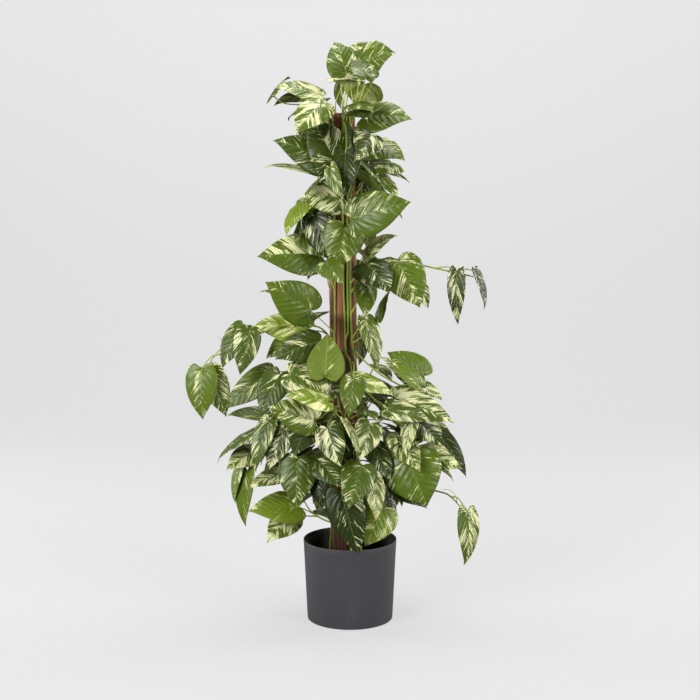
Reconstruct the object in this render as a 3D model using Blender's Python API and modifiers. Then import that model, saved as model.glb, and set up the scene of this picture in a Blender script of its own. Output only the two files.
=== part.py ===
"""A variegated pothos grown up a coir pole, in a plain tapered pot. Metres, +Z up.

The origin is the centre of the pot's underside and -Y is the front of the plant.
"""
import math
import random

import bmesh
import bpy
from mathutils import Matrix, Vector
from mathutils.bvhtree import BVHTree

NAME = "variegated_pothos_on_pole"
CM = 0.01
SEAT_GAP = 0.0003

POT_HEIGHT = 0.167
POT_RIM_RADIUS = 0.0955
POT_BASE_RADIUS = 0.0878
POT_WALL = 0.0022
POT_FLOOR = 0.004
FILL_TOP = 0.110

POLE_FOOT = Vector((-0.0090, 0.0, 0.0060))
POLE_HEAD = Vector((-0.0172, 0.0, 1.0300))
POLE_RADIUS = 0.0272
CORE_RADIUS = 0.0125
CORE_HEAD_COVER = 0.012

STEM_RADIUS = 0.0021
STEM_CLIMB_RADIUS = POLE_RADIUS + STEM_RADIUS + 0.0009
STEM_SOIL_RADIUS = 0.037
STEM_HOLE_RADIUS = 0.0031
STEM_HOLE_DEPTH = 0.036
STEM_TURN_STEP = 16.0
STEM_RISE_STEP = 0.088
PETIOLE_RADIUS = 0.0014
SHORT_PETIOLE = 0.045
TIE_RADIUS = 0.0007
TIE_RING_RADIUS = STEM_CLIMB_RADIUS + STEM_RADIUS + TIE_RADIUS + 0.0006
TIE_HEIGHTS = (("lower", 0.330), ("middle", 0.5600), ("upper", 0.905))

LEAST_LENGTH = 0.079
CROWN_FORWARD = 1.22
CROWN_SPAN = (24.0, 52.0)

BLADE_THICKNESS = 0.0008
BLADE_BREADTH = 0.80
BLADE_BEND = 0.07
BLADE_FOLD = 0.10
BLADE_DRAPE = 0.24
SLAB_ABOVE = 0.0011
SLAB_BELOW = 0.0019
PETIOLE_CLEAR = 0.0009
CANOPY_CORE = 0.0365

# The stations of a leaf blade from its lobes to its tip, as shares of its length:
# where the midrib point lies, and how far out and how far along the margin point lies.
BLADE_STATIONS = (
    (0.000, 0.245, -0.125),
    (0.150, 0.415, 0.150),
    (0.580, 0.325, 0.580),
    (1.000, 0.000, 1.000),
)

# The eye in front of the plant from which the leaves below are placed.
EYE = Vector((0.0, -3.0, 0.988))

# Stems round the pole in order: bearing from the front towards the right in degrees, top
# height, and the heights and angles of its turns to the right on the way down.
TURN_FRONT = ((0.480, 0.340, 100.0),)
TURN_MIDDLE = ((0.585, 0.500, 34.0), (0.480, 0.370, 66.0))
TURN_RIGHT = ((0.480, 0.370, 66.0),)
TURN_BACK = ((0.520, 0.370, 66.0),)
CLIMBERS = (
    (-80, 0.505, TURN_FRONT),
    (-56, 0.530, TURN_FRONT),
    (-32, 1.030, TURN_FRONT),
    (3, 1.052, TURN_MIDDLE),
    (32, 1.040, TURN_MIDDLE),
    (86, 0.510, TURN_RIGHT),
    (104, 0.490, TURN_RIGHT),
    (124, 1.046, TURN_BACK),
    (147, 1.024, ((0.520, 0.370, 58.0),)),
    (172, 1.050, ((0.520, 0.370, 48.0),)),
    (198, 1.030, ((0.520, 0.370, 36.0),)),
    (224, 1.044, ((0.520, 0.370, 24.0),)),
)

# The stem that forks from the third and climbs beside it: foot, bearing and top.
FORK_CLIMBER = 3
FORK_HEIGHT = 0.572
FORK_BEARING = 19.0
FORK_TOP = 1.034

# Shoots that leave the pole: climber, height, then points seen from the front as
# across, up and depth in centimetres.
SHOOTS = (
    (7, 0.700, ((3.6, 73.4, 0.5), (8.5, 74.2, -1.0), (14.3, 73.0, -2.0), (20.0, 71.7, -2.5),
                (25.5, 70.5, -3.0))),
    (11, 0.575, ((-6.0, 60.3, -1.0), (-10.0, 61.0, -2.0), (-14.0, 60.7, -2.5),
                 (-18.0, 59.2, -3.0), (-22.0, 57.3, -3.0), (-26.2, 54.9, -3.0))),
    (4, 0.556, ((2.9, 53.6, -4.6), (6.0, 50.9, -5.6), (9.5, 48.9, -5.8), (13.4, 46.6, -5.0))),
    (3, 0.508, ((2.3, 48.3, -5.0), (5.0, 45.6, -5.6), (7.4, 43.1, -5.6), (10.4, 40.2, -5.0),
                (14.0, 38.8, -3.6))),
    (4, 0.290, ((4.8, 31.2, 1.0), (8.5, 30.4, 1.2), (13.0, 28.5, 1.0), (17.0, 26.8, 0.5),
                (20.2, 25.8, -1.0), (22.7, 23.2, -2.0))),
    (0, 0.440, ((-7.0, 45.2, -1.0), (-11.5, 44.0, 0.0), (-16.0, 42.4, 0.0), (-19.2, 39.4, 0.0),
                (-20.9, 35.6, 0.0), (-21.8, 32.0, 0.0))),
    (0, 0.180, ((-2.2, 19.3, -4.4), (-5.2, 20.5, -4.2), (-8.0, 22.3, -3.8), (-9.4, 24.6, -3.6))),
    (0, 0.240, ((-1.6, 25.2, -4.6), (-4.2, 26.6, -4.6), (-6.0, 29.0, -4.6), (-7.6, 32.4, -4.6))),
)

# Leaves as seen from the front, in centimetres: junction across and up, tip across and up,
# depth of the junction, depth that the tip adds, the way the upper face looks as right,
# front and up, and breadth as a share of the usual.
LEAVES_IN_VIEW = (
    (-0.7, 110.9, -3.0, 117.1, -2.5, 4.0, 0.0, 1.0, 0.7, 1.00),
    (3.4, 113.6, -3.2, 113.2, 0.5, 1.5, 0.1, 1.0, 0.2, 1.05),
    (2.0, 113.0, 8.8, 114.9, -1.5, -3.0, 0.1, 0.9, 0.4, 1.15),
    (2.9, 111.2, 1.6, 113.6, -8.5, 7.4, 0.1, 0.15, 1.0, 0.85),
    (-0.6, 109.4, -4.0, 109.2, -3.5, -5.0, 0.0, 0.05, 1.0, 0.90),
    (-0.2, 109.7, 2.0, 108.7, -4.0, -5.5, 0.0, 0.3, 1.0, 0.80),
    (3.1, 108.8, 1.9, 103.2, 0.0, 4.0, 0.2, -1.0, 0.4, 1.20),
    (-1.6, 109.0, -1.9, 103.9, 1.5, 3.5, -0.8, -0.6, 0.3, 0.60),
    (0.9, 105.0, 4.5, 103.5, -4.0, -5.5, 0.2, 0.9, 0.5, 0.90),
    (0.8, 103.6, 3.4, 101.9, -3.9, -5.5, 0.1, 0.9, 0.5, 0.90),
    (2.9, 102.4, 12.2, 102.0, -4.5, -4.0, 0.1, 0.8, 0.6, 0.98),
    (-5.6, 106.5, -14.8, 108.2, -3.0, -2.5, -0.1, 0.65, 0.8, 0.80),
    (-5.8, 104.9, -10.7, 99.0, -4.5, -5.0, -0.3, 0.9, 0.5, 1.05),
    (-8.5, 106.7, -15.1, 104.7, 0.5, 1.5, 0.0, -0.45, 0.9, 0.75),
    (-14.4, 107.4, -11.8, 110.1, 0.0, 4.5, -0.7, 0.05, 0.7, 0.80),
    (-8.0, 104.6, -12.4, 101.7, -0.5, 4.0, -0.6, 0.1, 0.75, 0.70),
    (-3.0, 93.9, -7.8, 102.2, -7.5, 2.0, 0.0, 1.0, 0.35, 1.05),
    (-0.9, 95.3, -0.7, 87.0, -7.0, -3.0, -0.3, 0.9, 0.2, 0.82),
    (0.4, 99.4, 1.0, 93.4, -5.5, -2.5, 0.9, 0.45, 0.1, 0.80),
    (4.2, 98.9, 1.6, 93.9, -6.0, -4.5, 0.2, 0.9, 0.4, 0.90),
    (3.4, 97.4, 11.0, 93.9, -3.5, -3.0, 0.2, 0.6, 0.75, 1.10),
    (8.2, 93.5, 5.2, 91.0, -1.5, -7.0, 0.3, 0.5, 0.9, 1.00),
    (4.8, 92.4, 11.9, 89.6, 2.0, 0.0, 0.3, 0.2, 0.9, 0.80),
    (2.9, 92.9, 7.1, 87.7, -8.0, -4.5, 0.75, 0.3, 0.6, 0.75),
    (5.4, 91.0, 9.7, 86.0, -3.5, -4.5, 0.6, 0.6, 0.6, 0.80),
    (2.6, 91.8, 2.2, 83.8, 3.5, 0.0, 0.1, 1.0, 0.1, 0.75),
    (2.8, 90.6, 7.0, 86.6, -2.0, -2.0, 0.2, -0.5, 0.8, 0.90),
    (0.6, 82.3, 12.2, 85.7, -11.0, -0.5, 0.0, 1.0, 0.3, 0.88),
    (3.4, 96.2, 5.4, 88.2, 1.5, 0.0, 0.2, 1.0, 0.0, 0.80),
    (-1.0, 80.6, -2.7, 72.0, -8.5, -0.5, 0.0, 1.0, 0.2, 1.15),
    (-1.6, 86.5, -10.2, 86.3, -6.5, -2.0, -0.1, 0.95, 0.45, 0.98),
    (-5.2, 90.8, -8.9, 86.3, -4.0, -4.0, -0.75, 0.25, 0.55, 0.80),
    (-4.0, 92.4, -1.2, 86.0, -8.5, -3.0, -0.5, 0.8, 0.2, 0.50),
    (-5.0, 93.7, -15.2, 97.9, -3.0, -2.0, -0.2, 0.8, 0.6, 0.85),
    (-6.8, 91.4, -17.3, 92.6, -2.0, 0.5, -0.1, 0.18, 1.0, 0.62),
    (-4.8, 95.4, -8.3, 91.9, 0.5, -4.0, 0.2, -0.8, 0.5, 1.00),
    (-9.2, 85.3, -12.9, 79.0, -3.5, -4.0, -0.7, 0.65, 0.45, 0.85),
    (-7.3, 82.8, -3.2, 73.3, -4.5, -2.0, -0.4, 0.85, 0.4, 0.75),
    (-8.8, 84.8, -5.3, 80.0, -4.5, -4.5, -0.6, 0.65, 0.5, 0.60),
    (-7.2, 77.6, -3.3, 74.0, -4.0, -3.0, -0.2, 0.6, 0.7, 0.90),
    (-6.4, 75.2, -18.6, 74.8, -5.5, -3.0, -0.1, 0.9, 0.35, 0.85),
    (-4.9, 73.5, -1.4, 69.1, -8.0, -6.0, -0.1, 0.85, 0.5, 0.75),
    (-5.6, 73.2, -8.6, 70.2, -2.0, -7.0, -0.2, 0.5, 0.85, 0.60),
    (-7.9, 63.8, -17.0, 69.6, -5.5, -2.5, -0.2, 0.95, 0.3, 0.92),
    (-10.5, 66.0, -18.2, 67.8, 0.5, 0.0, 0.0, 0.15, 1.0, 0.75),
    (-5.6, 63.4, -8.0, 61.2, -3.0, -7.0, -0.2, 0.3, 0.9, 0.55),
    (6.0, 85.2, 10.6, 82.4, 1.5, -2.0, 0.5, 0.2, 0.8, 0.80),
    (3.4, 75.5, 9.3, 79.1, -4.5, -3.0, 0.1, 0.6, 0.75, 0.75),
    (9.6, 73.6, 14.1, 64.4, -4.5, -2.0, 0.1, 1.0, 0.2, 1.03),
    (12.5, 70.5, 15.9, 64.2, -1.0, 0.5, 0.5, 0.8, 0.2, 0.75),
    (3.5, 73.2, 8.0, 67.4, -5.0, -5.0, 0.3, 0.9, 0.3, 1.10),
    (6.2, 63.4, 8.2, 68.2, -2.5, 3.5, -0.9, 0.25, 0.4, 0.80),
    (3.1, 68.8, 3.1, 62.3, -5.0, -5.0, 0.1, 1.0, 0.1, 0.70),
    (3.4, 61.9, 5.4, 51.7, -4.5, -3.0, 0.55, 0.8, 0.1, 0.58),
    (2.0, 60.0, 1.9, 52.6, 1.5, 3.0, 0.7, -0.6, 0.0, 0.75),
    (21.4, 71.6, 21.7, 60.8, -3.0, -1.0, -0.3, 0.95, 0.1, 0.42),
    (25.7, 70.4, 27.2, 64.0, -3.0, -1.5, 0.8, 0.5, 0.1, 0.50),
    (15.0, 50.6, 7.5, 55.4, -5.0, 1.0, 0.2, 0.9, 0.45, 0.90),
    (14.0, 48.8, 6.0, 54.6, -3.0, 1.0, 0.3, 0.5, 0.75, 0.70),
    (12.5, 49.9, 7.4, 53.3, -6.5, 0.5, -0.1, 0.5, 0.8, 0.60),
    (5.7, 52.2, 8.6, 49.4, -3.5, -7.0, 0.2, 0.35, 0.9, 0.55),
    (0.2, 50.0, 8.9, 46.5, -7.5, -3.0, 0.1, 0.7, 0.7, 0.60),
    (-5.0, 50.6, -4.5, 59.3, -8.0, 1.0, 0.0, -1.0, 0.15, 1.05),
    (-6.2, 57.4, -15.2, 54.0, -5.0, -3.0, -0.1, 0.75, 0.65, 1.05),
    (-8.8, 60.0, -19.6, 60.8, -1.5, -1.0, 0.0, 0.7, 0.7, 0.88),
    (-8.6, 59.2, -17.1, 54.2, -2.5, -2.0, -0.1, 0.75, 0.65, 0.90),
    (-21.6, 60.4, -26.0, 52.1, -4.0, -2.0, -0.4, 0.8, 0.45, 0.80),
    (-20.3, 59.7, -22.3, 50.6, -5.5, -2.0, 0.15, 0.95, 0.3, 0.70),
    (-30.1, 51.7, -30.0, 41.4, -5.0, -1.0, -0.2, 1.0, 0.2, 0.78),
    (-28.6, 51.6, -25.1, 42.0, -3.5, -1.0, 0.3, 0.9, 0.2, 0.72),
    (-16.2, 51.0, -25.7, 43.6, -4.0, -1.0, -0.2, 0.9, 0.4, 0.62),
    (-14.2, 50.9, -18.3, 42.2, -6.5, -3.0, -0.2, 0.9, 0.3, 0.80),
    (-18.6, 42.6, -25.0, 42.5, -2.0, 1.0, -0.1, 0.5, 0.8, 0.60),
    (-12.2, 51.0, -3.4, 47.2, -8.0, -2.0, -0.1, 0.8, 0.6, 0.85),
    (-4.4, 45.4, -13.3, 46.4, -10.5, -1.0, 0.0, 0.42, 0.9, 0.95),
    (-7.3, 41.5, -16.7, 44.1, -10.5, -2.0, -0.1, 0.9, 0.35, 0.90),
    (-2.6, 41.6, -9.4, 41.2, -7.5, -4.0, 0.0, 0.6, 0.75, 0.70),
    (0.4, 47.6, -0.3, 41.8, -9.5, -4.0, 0.0, 1.0, 0.1, 0.75),
    (-0.3, 48.9, -3.4, 45.8, -5.5, -6.8, 0.0, 0.45, 0.9, 0.65),
    (2.3, 43.3, 5.6, 41.3, -7.5, -7.0, 0.2, 0.4, 0.9, 0.65),
    (7.5, 43.8, 16.6, 41.1, -8.0, -2.0, 0.1, 0.8, 0.6, 0.60),
    (13.2, 48.6, 18.8, 45.6, -4.0, -3.5, 0.4, 0.6, 0.7, 0.85),
    (9.2, 46.0, 21.3, 40.9, -5.5, -2.0, 0.1, 0.85, 0.55, 0.60),
    (18.2, 38.6, 23.9, 29.6, -2.5, -2.0, 0.35, 0.85, 0.3, 0.50),
    (14.8, 40.4, 20.9, 38.2, -1.0, -4.0, 0.3, 0.6, 0.7, 0.90),
    (12.4, 40.7, 11.6, 33.5, -9.0, -3.5, -0.6, 0.75, 0.1, 0.60),
    (14.1, 39.5, 12.9, 35.7, -6.0, -5.0, 0.0, 0.9, 0.5, 0.90),
    (15.2, 39.5, 18.6, 35.9, -4.5, -5.0, 0.2, 0.7, 0.6, 1.00),
    (13.6, 34.9, 20.0, 35.3, -5.5, -4.0, 0.1, 0.5, 0.8, 0.80),
    (15.2, 34.0, 22.9, 31.4, -6.5, -3.5, 0.1, 0.85, 0.5, 0.75),
    (16.5, 33.0, 21.3, 28.8, 1.5, -1.0, 0.6, 0.2, 0.7, 0.70),
    (11.8, 33.2, 15.9, 23.4, -8.5, -2.0, -0.1, 1.0, 0.2, 1.38),
    (-2.6, 37.6, -1.7, 29.6, -5.0, -0.5, 0.0, 1.0, 0.1, 1.00),
    (9.4, 28.3, 15.9, 23.0, -6.0, -2.0, 0.1, 0.7, 0.7, 0.80),
    (24.2, 22.2, 23.7, 10.8, -3.0, -1.5, 0.6, 0.8, 0.2, 0.62),
    (-1.8, 26.2, 1.9, 13.0, -13.0, -1.0, 0.0, 1.0, 0.1, 0.70),
    (2.5, 28.5, 4.5, 19.5, -7.0, -1.0, 0.1, 1.0, 0.1, 0.80),
    (6.8, 22.9, 3.1, 14.9, -12.5, -2.5, 0.1, 1.0, 0.25, 1.10),
    (2.4, 31.8, -0.4, 22.9, -11.0, -2.5, 0.0, 1.0, 0.25, 0.95),
    (4.7, 29.6, 5.4, 20.3, -12.0, -2.0, 0.45, 0.9, 0.1, 0.62),
    (5.6, 31.6, 9.9, 24.2, -9.5, -3.5, 0.35, 0.9, 0.3, 0.85),
    (-4.7, 39.7, -1.8, 31.6, -11.5, -3.0, -0.2, 0.9, 0.3, 0.85),
    (-2.0, 40.8, -1.0, 33.0, -8.5, -3.0, 0.0, 0.9, 0.3, 0.80),
    (3.9, 39.7, 1.9, 33.0, -9.0, -3.5, 0.2, 0.9, 0.3, 0.85),
    (-0.8, 41.2, 1.7, 33.3, -11.0, -2.0, 0.85, 0.4, 0.2, 0.60),
    (-10.5, 33.3, -11.1, 23.3, -9.0, -2.0, -0.1, 1.0, 0.2, 1.00),
    (-10.6, 23.4, -20.9, 22.5, -5.5, -2.0, -0.1, 0.7, 0.7, 0.90),
    (-12.0, 21.3, -17.1, 15.8, -4.0, -4.5, -0.2, 0.85, 0.5, 0.95),
    (-21.2, 30.7, -21.6, 19.0, -4.0, -1.5, -0.6, 0.8, 0.1, 0.50),
    (-22.6, 31.2, -23.7, 24.0, -2.0, -3.0, -0.8, 0.55, 0.1, 0.55),
    (-20.3, 34.4, -25.3, 31.0, -2.5, -4.0, -0.2, 0.8, 0.5, 0.85),
    (-18.9, 39.5, -27.4, 32.7, -1.0, 0.0, -0.55, 0.12, 0.8, 0.80),
    (-16.6, 41.1, -19.5, 30.5, -5.0, -2.0, -0.6, 0.75, 0.35, 0.60),
    (-13.4, 39.5, -16.7, 31.0, -7.5, -3.0, -0.2, 0.9, 0.3, 0.75),
    (-14.3, 30.1, -20.8, 27.2, -6.0, -3.0, -0.1, 0.55, 0.8, 0.75),
    (-9.0, 39.0, -11.5, 33.8, -8.0, -4.0, -0.2, 0.8, 0.4, 0.95),
    (-6.9, 30.2, -5.6, 22.9, -8.5, -2.0, -0.3, 0.95, 0.0, 0.65),
    (-6.2, 32.9, -1.9, 27.3, -9.0, -4.0, 0.0, 0.8, 0.5, 0.90),
    (9.8, 38.6, 8.0, 35.6, -5.5, -7.2, 0.0, 0.45, 0.9, 0.65),
    (5.2, 35.3, 8.2, 28.7, -8.0, -3.0, 0.3, 0.85, 0.4, 0.80),
    (11.2, 35.5, 14.3, 30.8, -9.0, -3.5, 0.1, 0.9, 0.4, 0.75),
)

# How wide the plant is from the front: height, left and right, in centimetres. The leaves
# that the rule adds behind and within keep inside it.
OUTLINE = (
    (18.5, -7, 8.5), (22, -9, 9.5), (24, -13, 12), (27, -19, 17), (34, -20, 20),
    (38, -19.5, 19.5), (42, -19, 18), (46, -18, 16), (50, -19, 14), (53, -15, 6),
    (56, -12, 4.5), (59, -7, 2.8), (60.5, -3.8, 1.0), (69, -3.8, 1.2), (71, -6, 4.5),
    (74, -12, 11), (76, -13, 4.5), (79, -11.5, 6.5), (82, -11, 8.5), (86, -8, 9.5),
    (90, -7, 7), (93, -9.5, 9.5), (96, -11.5, 8), (99, -10, 5), (102, -10.5, 8),
    (105, -9.5, 6), (108, -5.5, 6), (111, -4, 5.5), (114, -4, 6), (116.5, -3, 2),
)
BARE_STRETCHES = ((0.505, 0.700), (0.985, 1.036))
RULE_LEAVES = 76
RULE_ATTEMPTS = 220
RULE_SEED = 11
LOW_SHARE = 0.67


def clear_scene():
    for item in list(bpy.data.objects):
        bpy.data.objects.remove(item, do_unlink=True)


def blend(a, b, share):
    return a + (b - a) * share


def smooth(value):
    value = min(max(value, 0.0), 1.0)
    return value * value * (3.0 - 2.0 * value)


def material(name, colour, roughness, metallic=0.0):
    mat = bpy.data.materials.new(name)
    mat.use_nodes = True
    shader = mat.node_tree.nodes["Principled BSDF"]
    shader.inputs["Base Color"].default_value = (*colour, 1.0)
    shader.inputs["Roughness"].default_value = roughness
    shader.inputs["Metallic"].default_value = metallic
    mat.diffuse_color = (*colour, 1.0)
    return mat


def add_object(name, mesh, collection, mat=None):
    obj = bpy.data.objects.new(name, mesh)
    collection.objects.link(obj)
    if mat is not None:
        obj.data.materials.clear()
        obj.data.materials.append(mat)
    return obj


def turned(name, profile, steps, collection, mat):
    """A closed or axis-to-axis profile of (radius, height) points, turned round Z."""
    mesh = bpy.data.meshes.new(name)
    bm = bmesh.new()
    verts = [bm.verts.new((radius, 0.0, height)) for radius, height in profile]
    for first, second in zip(verts, verts[1:]):
        bm.edges.new((first, second))
    bm.to_mesh(mesh)
    bm.free()
    obj = add_object(name, mesh, collection, mat)
    screw = obj.modifiers.new("turn", "SCREW")
    screw.angle = math.tau
    screw.steps = steps
    screw.render_steps = steps
    screw.use_merge_vertices = True
    screw.merge_threshold = 0.0001
    screw.use_smooth_shade = True
    return obj


def pole_axis(height):
    share = (height - POLE_FOOT.z) / (POLE_HEAD.z - POLE_FOOT.z)
    return POLE_FOOT.lerp(POLE_HEAD, share)


def outward(bearing):
    angle = math.radians(bearing)
    return Vector((math.sin(angle), -math.cos(angle), 0.0))


def sight(across, up, depth):
    """The point at a depth, in centimetres, on the eye's line through (across, 0, up)."""
    target = Vector((across, 0.0, up)) * CM
    share = (depth * CM - EYE.y) / -EYE.y
    return EYE + (target - EYE) * share


def bearing_at(index, height):
    bearing, _, turns = CLIMBERS[index]
    for start, end, angle in turns:
        bearing += angle * smooth((start - height) / (start - end))
    return bearing + 2.5 * math.sin(height * 14.0 + index * 1.9)


def climb_point(index, height):
    spread = 1.0 - smooth((height - FILL_TOP) / 0.075)
    radius = blend(STEM_CLIMB_RADIUS, STEM_SOIL_RADIUS, spread)
    return pole_axis(height) + outward(bearing_at(index, height)) * radius


def climb_heights(heading, low, high):
    """Heights of a stem's points, closer together where it turns round the pole."""
    heights = [low]
    height = low
    while height < high - 0.012:
        height += 0.006
        turned_by = abs(heading(height) - heading(heights[-1]))
        if turned_by > STEM_TURN_STEP or height - heights[-1] > STEM_RISE_STEP:
            heights.append(height)
    return heights + [high]


def stem_route(index):
    top = CLIMBERS[index][1]
    foot = climb_point(index, FILL_TOP)
    points = [foot - Vector((0.0, 0.0, STEM_HOLE_DEPTH - 0.004)), foot + Vector((0.0, 0.0, 0.004)),
              climb_point(index, 0.145)]
    heights = climb_heights(lambda height: bearing_at(index, height), 0.190, top)
    return points + [climb_point(index, height) for height in heights]


def fork_bearing(height):
    share = smooth((height - FORK_HEIGHT) / 0.030)
    return blend(bearing_at(FORK_CLIMBER, height), FORK_BEARING, share)


def fork_route():
    heights = [FORK_HEIGHT, 0.583, 0.594] + climb_heights(fork_bearing, 0.606, FORK_TOP)
    return [pole_axis(height) + outward(fork_bearing(height)) * STEM_CLIMB_RADIUS
            for height in heights]


def spot_on(route, height):
    """The point of a rising route at a height."""
    for here, there in zip(route, route[1:]):
        if here.z <= height <= there.z:
            return here.lerp(there, (height - here.z) / (there.z - here.z))
    return route[-1].copy()


def rounded(points, repeats):
    """Extra points on a smooth curve through the given ones."""
    result = []
    last = len(points) - 1
    for index in range(last):
        before = points[max(index - 1, 0)]
        here = points[index]
        after = points[index + 1]
        beyond = points[min(index + 2, last)]
        for step in range(repeats):
            t = step / repeats
            result.append(0.5 * ((2.0 * here) + (after - before) * t
                                 + (2.0 * before - 5.0 * here + 4.0 * after - beyond) * t * t
                                 + (3.0 * here - before - 3.0 * after + beyond) * t ** 3))
    result.append(points[last])
    return result


def shoot_route(shoot):
    index, height, views = shoot
    root = spot_on(stem_route(index), height)
    away = outward(bearing_at(index, height))
    points = [root, root + away * 0.008 + Vector((0.0, 0.0, 0.002))]
    points += [sight(*view) for view in views]
    return points[:1] + rounded(points[1:], 2)


def leaf_frame(junction, tip, face):
    along = tip - junction
    length = along.length
    along = along / length
    normal = face - along * face.dot(along)
    normal.normalize()
    return {"junction": junction, "tip": tip, "length": length, "along": along,
            "normal": normal, "across": along.cross(normal)}


def leaf_in_view(row):
    across, up, tip_across, tip_up, depth, further, right, front, above, breadth = row
    if depth < -6.0 and CROWN_SPAN[0] < up < CROWN_SPAN[1]:
        depth = -6.0 + (depth + 6.0) * CROWN_FORWARD - 1.2
    leaf = leaf_frame(sight(across, up, depth), sight(tip_across, tip_up, depth + further),
                      Vector((right, -front, above)))
    if leaf["length"] < LEAST_LENGTH:
        hidden = leaf["tip"] - leaf["along"] * LEAST_LENGTH
        leaf = leaf_frame(hidden, leaf["tip"], leaf["normal"])
    leaf["breadth"] = breadth
    leaf["row"] = row
    return leaf


def blade_point(leaf, out, along):
    """A point of the upper face, out and along as shares of the leaf's length."""
    length = leaf["length"]
    out = out * leaf["breadth"]
    rise = BLADE_BEND * 4.0 * along * (1.0 - along)
    side = abs(out)
    rise += BLADE_FOLD * side - BLADE_DRAPE * side * side / 0.40
    wave = 0.012 * math.sin(9.0 * along + leaf["phase"] + (1.6 if out > 0.0 else 0.0))
    rise += wave * (side / 0.40) ** 2
    return (leaf["junction"] + leaf["along"] * (along * length)
            + leaf["across"] * (out * length) + leaf["normal"] * (rise * length))


def station_point(leaf, column, row):
    middle, out, along = BLADE_STATIONS[row]
    if column == 0:
        return blade_point(leaf, 0.0, middle)
    return blade_point(leaf, out * column, along)


def slab(leaf):
    """The blade with room kept above and below it, as a search tree."""
    verts = []
    faces = []
    rows = len(BLADE_STATIONS)
    for lift in (SLAB_ABOVE, -SLAB_BELOW):
        for row in range(rows):
            for column in (-1, 0, 1):
                verts.append(station_point(leaf, column, row) + leaf["normal"] * lift)
    size = rows * 3
    for layer in (0, size):
        for row in range(rows - 1):
            for column in (0, 1):
                corner = layer + row * 3 + column
                faces.append((corner, corner + 1, corner + 4))
                faces.append((corner, corner + 4, corner + 3))
    for row in range(rows - 1):
        for column in (0, 2):
            corner = row * 3 + column
            faces.append((corner, corner + 3, corner + 3 + size))
            faces.append((corner, corner + 3 + size, corner + size))
    for column in (0, 1):
        faces.append((column, column + 1, column + 1 + size))
        faces.append((column, column + 1 + size, column + size))
    return verts, faces


def tube_shell(points, radius):
    """A six-sided sleeve round a route, to test it against what already stands."""
    sides = 6
    verts = []
    faces = []
    for index, point in enumerate(points):
        ahead = points[min(index + 1, len(points) - 1)] - points[max(index - 1, 0)]
        turn = ahead.to_track_quat("Z", "Y")
        for side in range(sides):
            angle = math.tau * side / sides
            ring = Vector((math.cos(angle), math.sin(angle), 0.0)) * (radius * 1.15)
            verts.append(point + turn @ ring)
    for index in range(len(points) - 1):
        for side in range(sides):
            here = index * sides + side
            there = index * sides + (side + 1) % sides
            faces.append((here, there, there + sides))
            faces.append((here, there + sides, here + sides))
    return verts, faces


class Standing:
    """What has its place already: search trees with their boxes and owners."""

    def __init__(self):
        self.items = []

    def add(self, shape, owner):
        verts, faces = shape
        low = Vector([min(v[axis] for v in verts) for axis in range(3)])
        high = Vector([max(v[axis] for v in verts) for axis in range(3)])
        self.items.append((low, high, BVHTree.FromPolygons(verts, faces), owner))

    def meets(self, shape, skip=()):
        verts, faces = shape
        low = [min(v[axis] for v in verts) for axis in range(3)]
        high = [max(v[axis] for v in verts) for axis in range(3)]
        tree = None
        for other_low, other_high, other, owner in self.items:
            if owner in skip:
                continue
            if (low[0] > other_high.x or high[0] < other_low.x or low[1] > other_high.y
                    or high[1] < other_low.y or low[2] > other_high.z or high[2] < other_low.z):
                continue
            if tree is None:
                tree = BVHTree.FromPolygons(verts, faces)
            if tree.overlap(other):
                return True
        return False


def ring_shell(radii_heights, sides, centre):
    """A turned shell of (radius, height) rings round a centre that depends on height."""
    verts = []
    faces = []
    for radius, height in radii_heights:
        middle = centre(height)
        for side in range(sides):
            angle = math.tau * side / sides
            verts.append(Vector((middle.x + radius * math.cos(angle),
                                 middle.y + radius * math.sin(angle), height)))
    for ring in range(len(radii_heights) - 1):
        for side in range(sides):
            here = ring * sides + side
            there = ring * sides + (side + 1) % sides
            faces.append((here, there, there + sides))
            faces.append((here, there + sides, here + sides))
    return verts, faces


def petiole_route(node, away, leaf, arch):
    """From a node on a stem, out and up, to the underside of the blade at its junction."""
    junction = leaf["junction"]
    reach = (junction - node).length
    rise = Vector((0.0, 0.0, 1.0))
    leave = (away * 0.8 + rise * arch).normalized()
    arrive = (-leaf["along"] * 0.45 - leaf["normal"] * 0.55).normalized()
    second = node + leave * (0.36 * reach)
    third = junction + arrive * (0.30 * reach)
    middle = blade_point(leaf, 0.0, BLADE_STATIONS[1][0])
    end = junction.lerp(middle, 0.0024 / (middle - junction).length)
    end = end - leaf["normal"] * (0.5 * BLADE_THICKNESS)
    points = [node + away * 0.0001]
    for t in ((0.50,) if reach < SHORT_PETIOLE else (0.32, 0.70)):
        points.append(node * (1 - t) ** 3 + second * (3 * t * (1 - t) ** 2)
                      + third * (3 * t * t * (1 - t)) + end * t ** 3)
    points.append(end)
    return points


def node_choices(leaf, stems):
    """Places on the stems for the petiole to start, the likeliest first."""
    choices = []
    junction = leaf["junction"]
    for owner, kind, node, away in stems:
        gap = junction - node
        reach = gap.length
        if reach < 0.022 or reach > 0.17:
            continue
        flat = Vector((gap.x, gap.y, 0.0))
        swing = 1.0 - (flat.normalized().dot(away) if flat.length > 1e-6 else 0.0)
        wish = 0.075 if kind == "climb" else 0.045
        cost = abs(reach - wish) + (0.030 if kind == "climb" else 0.006) * swing
        cost += 0.4 * max(0.0, -gap.z) + 0.15 * max(0.0, gap.z - 0.06)
        choices.append((cost, owner, node, away))
    choices.sort(key=lambda choice: choice[0])
    return choices[:70]


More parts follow.
